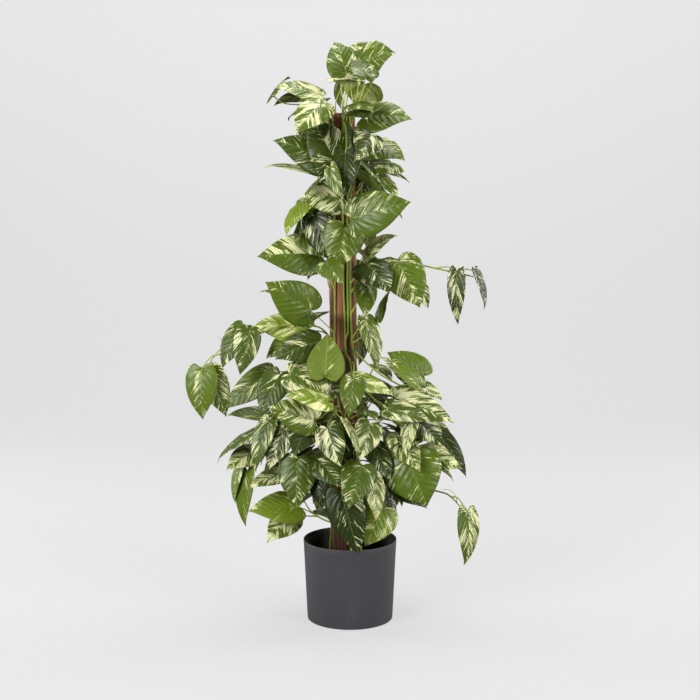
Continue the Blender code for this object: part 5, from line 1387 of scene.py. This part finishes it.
def blade_verts(leaf, spots):
    """A blade's upper and lower vertices, with its ribs, its waves and a dipping tip."""
    out = spots[:, 0]
    along = spots[:, 1]
    wide = out * leaf["breadth"]
    side = np.abs(wide)
    rise = BLADE_BEND * 4.0 * along * (1.0 - along) + BLADE_FOLD * side
    rise -= BLADE_DRAPE * side ** 2 / BLADE_HALF
    wave = BLADE_WAVE * np.sin(9.0 * along + leaf["phase"] + np.where(wide > 0.0, 1.6, 0.0))
    rise += wave * (side / BLADE_HALF) ** 2
    rise += MARGIN_WAVE * np.sin(23.0 * along + 2.0 * leaf["phase"]) * (side / MARGIN_HALF) ** 3
    rise -= MIDRIB_DEPTH * np.exp(-(side / MIDRIB_WIDTH) ** 2) * (1.0 - 0.6 * along)
    swing = np.cos(math.tau * (vein_rows(out, along) * SIDE_VEIN_PAIRS + np.where(out > 0, 0.5, 0)))
    fade = np.clip((0.37 - np.abs(out)) / 0.12, 0.0, 1.0) * np.clip(np.abs(out) / 0.05, 0.0, 1.0)
    rise -= SIDE_VEIN_DEPTH * swing * fade
    rise -= TIP_DIP * np.clip((along - TIP_START) / (1.0 - TIP_START), 0.0, 1.0) ** 2
    length = leaf["length"]
    top = np.array(leaf["junction"])[None, :]
    for amount, way in ((along, "along"), (wide, "across"), (rise, "normal")):
        top = top + np.outer(amount * length, np.array(leaf[way]))
    body = MIDRIB_BODY * np.exp(-(side / 0.020) ** 2) * np.clip(1.0 - along, 0.1, 1.0)
    under = top - np.outer(BLADE_BODY + body, np.array(leaf["normal"]))
    return np.vstack([top, under])


def look_of(number):
    """Green, cream and its side for a leaf: the table's, or a seeded draw behind the plant."""
    if number in LEAF_LOOKS:
        return LEAF_LOOKS[number]
    draw = random.Random(number * 7 + 3)
    tone = draw.choice(OTHER_TONES)
    cream = draw.choice(OTHER_CREAMS)
    return (tone, cream, draw.uniform(-0.7, 0.7))


def leaf_piece(index, placed, pattern, materials):
    """The blades of one vine."""
    spots, upper, under, rim = pattern
    verts = []
    faces = []
    kinds = []
    places = []
    looks = []
    for item in placed:
        if item["owner"] != index:
            continue
        made = blade_verts(item["leaf"], spots)
        base = len(made) * len(verts)
        verts.append(made)
        for group, kind in ((upper, 0), (under, 1), (rim, 1)):
            faces.extend(tuple(corner + base for corner in face) for face in group)
            kinds.extend([kind] * len(group))
        seed = (item["number"] * 0.618034) % 1.0
        place = np.c_[spots, np.full(len(spots), seed)]
        places.append(np.vstack([place, place]))
        looks.append(np.tile(look_of(item["number"]), (len(made), 1)))
    piece("leaves_%02d" % (index + 1), np.vstack(verts), faces, materials,
          ["vine_%02d" % (index + 1)], kinds,
          [("blade_place", np.vstack(places)), ("blade_look", np.vstack(looks))])


def even_steps(points, step):
    """Points no further apart than a step along a path."""
    result = [points[0]]
    for here, there in zip(points, points[1:]):
        count = max(1, math.ceil((there - here).length / step))
        for index in range(count):
            result.append(here.lerp(there, (index + 1) / count))
    return result


def tube(points, radii, sides, base):
    """A round stalk with domed ends: vertices, faces that count from base, and ring numbers."""
    verts = []
    rings = []
    ahead = (points[1] - points[0]).normalized()
    side = ahead.orthogonal().normalized()
    for number, (point, radius) in enumerate(zip(points, radii)):
        before = points[max(number - 1, 0)]
        after = points[min(number + 1, len(points) - 1)]
        ahead = (after - before).normalized()
        side = (side - ahead * side.dot(ahead)).normalized()
        up = ahead.cross(side)
        for corner in range(sides):
            angle = math.tau * corner / sides
            verts.append(point + (side * math.cos(angle) + up * math.sin(angle)) * radius)
            rings.append(number)
    faces = bands(len(points), sides, base)
    for number, way in ((0, -1.0), (len(points) - 1, 1.0)):
        first = number * sides
        out = points[1] - points[0] if number == 0 else points[-1] - points[-2]
        tip = points[number] + out.normalized() * (way * radii[number] * 0.5)
        verts.append(tip)
        rings.append(number)
        top = base + len(verts) - 1
        for corner in range(sides):
            here = base + first + corner
            there = base + first + (corner + 1) % sides
            faces.append((top, here, there) if way > 0 else (top, there, here))
    return verts, faces, rings


def swell(distance, length, strength):
    """What a swelling adds at a distance from its middle."""
    return strength * math.exp(-(distance / length) ** 2)


def stalk_piece(index, parts, placed, material):
    """The stem, its shoots and every petiole of one vine."""
    verts = []
    faces = []
    looks = []
    roots = [item["route"][0] for item in placed if item["owner"] == index]

    def add(points, radii, sides, young, marks):
        made, skin, rings = tube(points, radii, sides, len(verts))
        verts.extend(made)
        faces.extend(skin)
        looks.extend((young, marks[ring], 0.0) for ring in rings)

    for kind, route in parts:
        points = even_steps(rounded(route, 5), STALK_STEP)
        radii = []
        marks = []
        full = STEM_RADIUS * (SHOOT_SHARE if kind == "shoot" else 1.0)
        for number, point in enumerate(points):
            near = min([(point - root).length for root in roots] + [1.0])
            end = min(1.0, (len(points) - number) / TAPER_STEPS)
            taper = 1.0 - TAPER_SHARE + TAPER_SHARE * end
            radii.append(full * taper * (1.0 + swell(near, *KNOT)))
            marks.append(swell(near, *SCAR))
        add(points, radii, STALK_ROUND, 0.35 if kind == "shoot" else 0.12, marks)
    for owner, stops in TENDRILS:
        if owner == index:
            points = even_steps(rounded([sight(*stop) for stop in stops], 5), STALK_STEP)
            radii = [blend(TENDRIL_RADIUS, TENDRIL_RADIUS * 0.4, number / len(points))
                     for number in range(len(points))]
            add(points, radii, PETIOLE_ROUND, 0.30, [0.30] * len(points))
    for item in placed:
        if item["owner"] != index:
            continue
        points = rounded(item["route"], 5)
        count = len(points) - 1
        radii = []
        for number in range(count + 1):
            share = number / count
            more = swell(share, *SHEATH) + swell(1.0 - share, *KNEE)
            radii.append(PETIOLE_RADIUS * (PETIOLE_MIDDLE + more))
        radii[0] *= 0.8
        radii[-1] = PETIOLE_RADIUS * 0.55
        # The petiole's green follows its leaf's tone, painted shade included.
        young = 0.25 + 0.75 * look_of(item["number"])[0]
        add(points, radii, PETIOLE_ROUND, young, [0.0] * len(points))
    piece("stalks_%02d" % (index + 1), verts, faces, [material],
          ["vine_%02d" % (index + 1)], None, [("stalk_look", looks)])


def coir_piece(materials):
    """The coir mat rolled round the pole, furrowed along its height, with loose fibres."""
    verts = []
    low = FILL_TOP - 0.012
    high = POLE_HEAD.z - 0.0012
    ways = [around(math.tau * side / COIR_ROUND) for side in range(COIR_ROUND)]
    for ring in range(COIR_RISE + 1):
        height = blend(low, high, ring / COIR_RISE)
        middle = pole_axis(height)
        shrink = 0.0035 * smooth((ring - COIR_RISE + 3.0) / 3.0)
        for way in ways:
            furrow = noise.noise(Vector((way.x * 9.0, way.y * 9.0, height * 7.0)))
            strand = noise.noise(Vector((way.x * 24.0, way.y * 24.0, height * 30.0 + 5.0)))
            lump = noise.noise(Vector((way.x * 2.0, way.y * 2.0, height * 22.0 + 9.0)))
            radius = POLE_RADIUS - 0.0006 - shrink + COIR_FURROW * (furrow + 0.45 * strand)
            radius += COIR_LUMP * lump
            verts.append(middle + way * radius)
    for step, share in enumerate((0.78, 0.52, 0.26)):
        for way in ways:
            spot = way * (POLE_RADIUS - 0.004) * share
            lift = 0.0012 * noise.noise(spot * 260.0) + 0.0003 * step
            verts.append(POLE_HEAD + spot + upwards(lift))
    faces = bands(COIR_RISE + 4, COIR_ROUND)
    inner = len(verts) - COIR_ROUND
    verts.append(POLE_HEAD + upwards(0.0012))
    for side in range(COIR_ROUND):
        faces.append((inner + side, inner + (side + 1) % COIR_ROUND, len(verts) - 1))
    kinds = [0] * len(faces)
    draw = random.Random(FIBRE_SEED)
    for number in range(LOOSE_FIBRES):
        height = draw.uniform(low + 0.02, high - 0.012)
        angle = draw.uniform(0.0, math.tau)
        rise = draw.uniform(0.012, 0.045) * draw.choice((-1.0, 1.0, 1.0))
        drift = draw.uniform(-0.30, 0.30)
        lift = draw.uniform(0.0000, 0.0022) * draw.random()
        points = []
        for step in range(5):
            share = step / 4.0
            level = min(max(height + rise * share, low), high - 0.002)
            radius = POLE_RADIUS - 0.0003 + lift * share ** 2
            radius += 0.0003 * math.sin(9.0 * share + number)
            points.append(pole_axis(level) + around(angle + drift * share * share) * radius)
        size = draw.uniform(0.00013, 0.00024)
        made, skin, _ = tube(points, [size, size, size, size * 0.8, size * 0.4], 3, len(verts))
        verts.extend(made)
        faces.extend(skin)
        kinds.extend([1] * len(skin))
    piece("coir_pole", verts, faces, materials, ["coir_sleeve"], kinds)


def pot_piece(material):
    """The thin pot: a soft lip, a tapered wall and a rounded foot, turned from one profile."""
    inner = POT_BASE_RADIUS - POT_WALL
    profile = [(inner - 0.003, POT_FLOOR), (inner - 0.0006, POT_FLOOR + 0.0012),
               (inner + 0.0001, POT_FLOOR + 0.004)]
    for share in (0.25, 0.5, 0.75, 0.93):
        profile.append((blend(inner, POT_RIM_RADIUS - POT_WALL, share), POT_HEIGHT * share))
    lip = 0.5 * POT_WALL
    for step in range(7):
        angle = math.pi * (1.0 - step / 6.0)
        profile.append((POT_RIM_RADIUS - lip + lip * math.cos(angle),
                        POT_HEIGHT - lip + lip * math.sin(angle)))
    for share in (0.93, 0.75, 0.5, 0.25):
        profile.append((blend(POT_BASE_RADIUS, POT_RIM_RADIUS, share), POT_HEIGHT * share))
    for step in range(6):
        angle = -0.5 * math.pi * step / 5.0
        profile.append((POT_BASE_RADIUS - 0.0018 + 0.0018 * math.cos(angle),
                        0.0018 + 0.0018 * math.sin(angle)))
    verts = [upwards(POT_FLOOR)]
    for radius, height in profile:
        for side in range(POT_ROUND):
            angle = math.tau * side / POT_ROUND
            verts.append(Vector((radius * math.cos(angle), radius * math.sin(angle), height)))
    verts.append(upwards(0.0))
    last = len(verts) - 1
    turns = [(side, (side + 1) % POT_ROUND) for side in range(POT_ROUND)]
    faces = [(0, 1 + side, 1 + after) for side, after in turns]
    for here, there, beyond, above in bands(len(profile), POT_ROUND, 1):
        faces.append((here, above, beyond, there))
    faces += [(last - POT_ROUND + side, last, last - POT_ROUND + after) for side, after in turns]
    piece("pot_wall", verts, faces, [material], ["pot"])


def fill_piece(material):
    """The dark mix in the pot: an uneven top with crumbs on it, and its sides."""
    def unevenness(spot):
        return 0.0030 * noise.noise(spot * 34.0) + 0.0018 * noise.noise(spot * 120.0)

    wall = POT_BASE_RADIUS - POT_WALL - SEAT_GAP - 0.0006
    outer = wall + POT_SLOPE * FILL_TOP
    low = POT_FLOOR + 0.002
    turns = [(side, (side + 1) % FILL_ROUND) for side in range(FILL_ROUND)]
    verts = [upwards(FILL_TOP)]
    for ring in range(1, FILL_RINGS + 1):
        for side in range(FILL_ROUND):
            spot = around(math.tau * side / FILL_ROUND) * (outer * ring / FILL_RINGS)
            verts.append(spot + upwards(FILL_TOP - 0.001 + unevenness(spot)))
    for side in range(FILL_ROUND):
        verts.append(around(math.tau * side / FILL_ROUND) * (wall + POT_SLOPE * low) + upwards(low))
    faces = [(0, 1 + side, 1 + after) for side, after in turns]
    for here, there, beyond, above in bands(FILL_RINGS + 1, FILL_ROUND, 1):
        faces.append((here, above, beyond, there))
    faces.append(tuple(len(verts) - 1 - side for side in range(FILL_ROUND)))
    draw = random.Random(CRUMB_SEED)
    shape = bmesh.new()
    bmesh.ops.create_icosphere(shape, subdivisions=1, radius=1.0)
    shape.verts.ensure_lookup_table()
    stone = [vert.co.copy() for vert in shape.verts]
    skin = [tuple(vert.index for vert in face.verts) for face in shape.faces]
    shape.free()
    for _ in range(CRUMBS):
        radius = outer * math.sqrt(draw.random()) * 0.97
        spot = around(draw.uniform(0.0, math.tau)) * radius
        if (spot - pole_axis(FILL_TOP).xy.to_3d()).length < POLE_RADIUS + 0.002:
            continue
        size = Vector([draw.uniform(*span) for span in CRUMB_SPANS])
        turn = Matrix.Rotation(draw.uniform(0.0, math.tau), 3, "Z")
        base = len(verts)
        middle = spot + upwards(FILL_TOP - 0.0008 + unevenness(spot))
        for co in stone:
            rough = 1.0 + 0.35 * noise.noise(co * 2.0 + spot * 900.0)
            verts.append(middle + turn @ (co * size * rough))
        faces.extend(tuple(base + corner for corner in face) for face in skin)
    piece("fill_top", verts, faces, [material], ["potting_fill"])


def tie_piece(name, height, bearing, material):
    """A coated wire round the stems, its two ends twisted together."""
    middle = pole_axis(height)
    points = []
    for step in range(TIE_STEPS + 1):
        turn = bearing + 360.0 * step / TIE_STEPS
        sag = 0.0006 * math.sin(math.radians(3.0 * turn))
        points.append(middle + outward(turn) * TIE_RING_RADIUS + upwards(sag))
    verts, faces, _ = tube(points, [TIE_RADIUS] * len(points), 10, 0)
    away = outward(bearing)
    flat = outward(bearing + 90.0)
    root = middle + away * (TIE_RING_RADIUS + TIE_RADIUS)
    for phase in (0.0, math.pi):
        path = []
        for step in range(TIE_END_STEPS + 1):
            share = step / TIE_END_STEPS
            angle = phase + math.tau * TIE_END_TURNS * share
            curl = (flat * math.cos(angle) + upwards(math.sin(angle))) * TIE_RADIUS
            path.append(root + away * (0.0010 + 0.0035 * share) + curl
                        + upwards(-0.0080 * share ** 1.3))
        made, skin, _ = tube(path, [TIE_RADIUS * 0.95] * len(path), 8, len(verts))
        verts.extend(made)
        faces.extend(skin)
    piece("tie_" + name, verts, faces, [material], ["tie_wire_" + name])


def studio(material):
    """A pale paper sweep, soft lamps, a little light from all round and the camera."""
    path = [(PAPER_FRONT, 0.0), (PAPER_BEND, 0.0)]
    for step in range(1, 13):
        angle = 0.5 * math.pi * step / 12.0
        path.append((PAPER_BEND + PAPER_RADIUS * math.sin(angle),
                     PAPER_RADIUS - PAPER_RADIUS * math.cos(angle)))
    path.append((PAPER_BEND + PAPER_RADIUS, PAPER_TOP))
    verts = []
    for depth, height in path:
        verts.append((-PAPER_HALF_WIDTH, depth, height - 0.0002))
        verts.append((PAPER_HALF_WIDTH, depth, height - 0.0002))
    faces = [(corner, corner + 1, corner + 3, corner + 2) for corner in range(0, len(verts) - 2, 2)]
    mesh = bpy.data.meshes.new("paper_sweep")
    mesh.from_pydata(verts, [], faces)
    mesh.materials.append(material)
    mesh.shade_smooth()
    linked("paper_sweep", mesh)
    for name, place, size, power in LAMPS:
        data = bpy.data.lights.new(name, "AREA")
        data.shape = "RECTANGLE"
        data.size, data.size_y = size
        data.energy = power
        obj = linked(name, data)
        obj.location = place
        obj.rotation_euler = (LAMP_AIM - Vector(place)).to_track_quat("-Z", "Y").to_euler()
    world = bpy.data.worlds.new("studio_air")
    world.use_nodes = True
    air = world.node_tree.nodes["Background"]
    air.inputs["Color"].default_value = (1.0, 1.0, 1.0, 1.0)
    bench = Bench(world.node_tree)
    seen = bench.put("ShaderNodeLightPath", out=0)
    bench.feed(air.inputs["Strength"], bench.ramp(seen, 0.0, 1.0, AIR_STRENGTH, AIR_SEEN))
    bpy.context.scene.world = world
    bpy.context.scene.view_settings.view_transform = "Standard"

    data = bpy.data.cameras.new("front_view")
    data.lens = CAMERA_FOCAL / PICTURE_WIDTH * SENSOR_WIDTH
    data.sensor_width = SENSOR_WIDTH
    data.clip_end = 60.0
    camera = linked("front_view", data)
    camera.location = EYE
    camera.rotation_euler = (math.radians(90.0 - CAMERA_DIP), 0.0, 0.0)
    bpy.context.scene.camera = camera


def dress():
    """The dressed plant in its pot, and the studio round it."""
    cloudy = cloudy_group()
    groups = (vein_group(), marbling_group(), cloudy)
    leaf_faces = [leaf_material(groups, UPPER_FACE), leaf_material(groups, UNDER_FACE)]
    stalk = stalk_material(cloudy)
    routes, placed = arrange()
    pattern = blade_pattern()
    for index, parts in enumerate(routes):
        leaf_piece(index, placed, pattern, leaf_faces)
        stalk_piece(index, parts, placed, stalk)
    coir_piece([coir_material(cloudy, False), coir_material(cloudy, True)])
    pot_piece(pot_material(cloudy))
    fill_piece(grained_material(cloudy, MIX_FINISH))
    wire = grained_material(cloudy, WIRE_FINISH)
    for (name, height), bearing in zip(TIE_HEIGHTS, TIE_BEARINGS):
        tie_piece(name, height, bearing, wire)
    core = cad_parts["pole_core"]
    core.data.materials.clear()
    core.data.materials.append(grained_material(cloudy, CORE_FINISH))
    studio(stage_material())


dress()
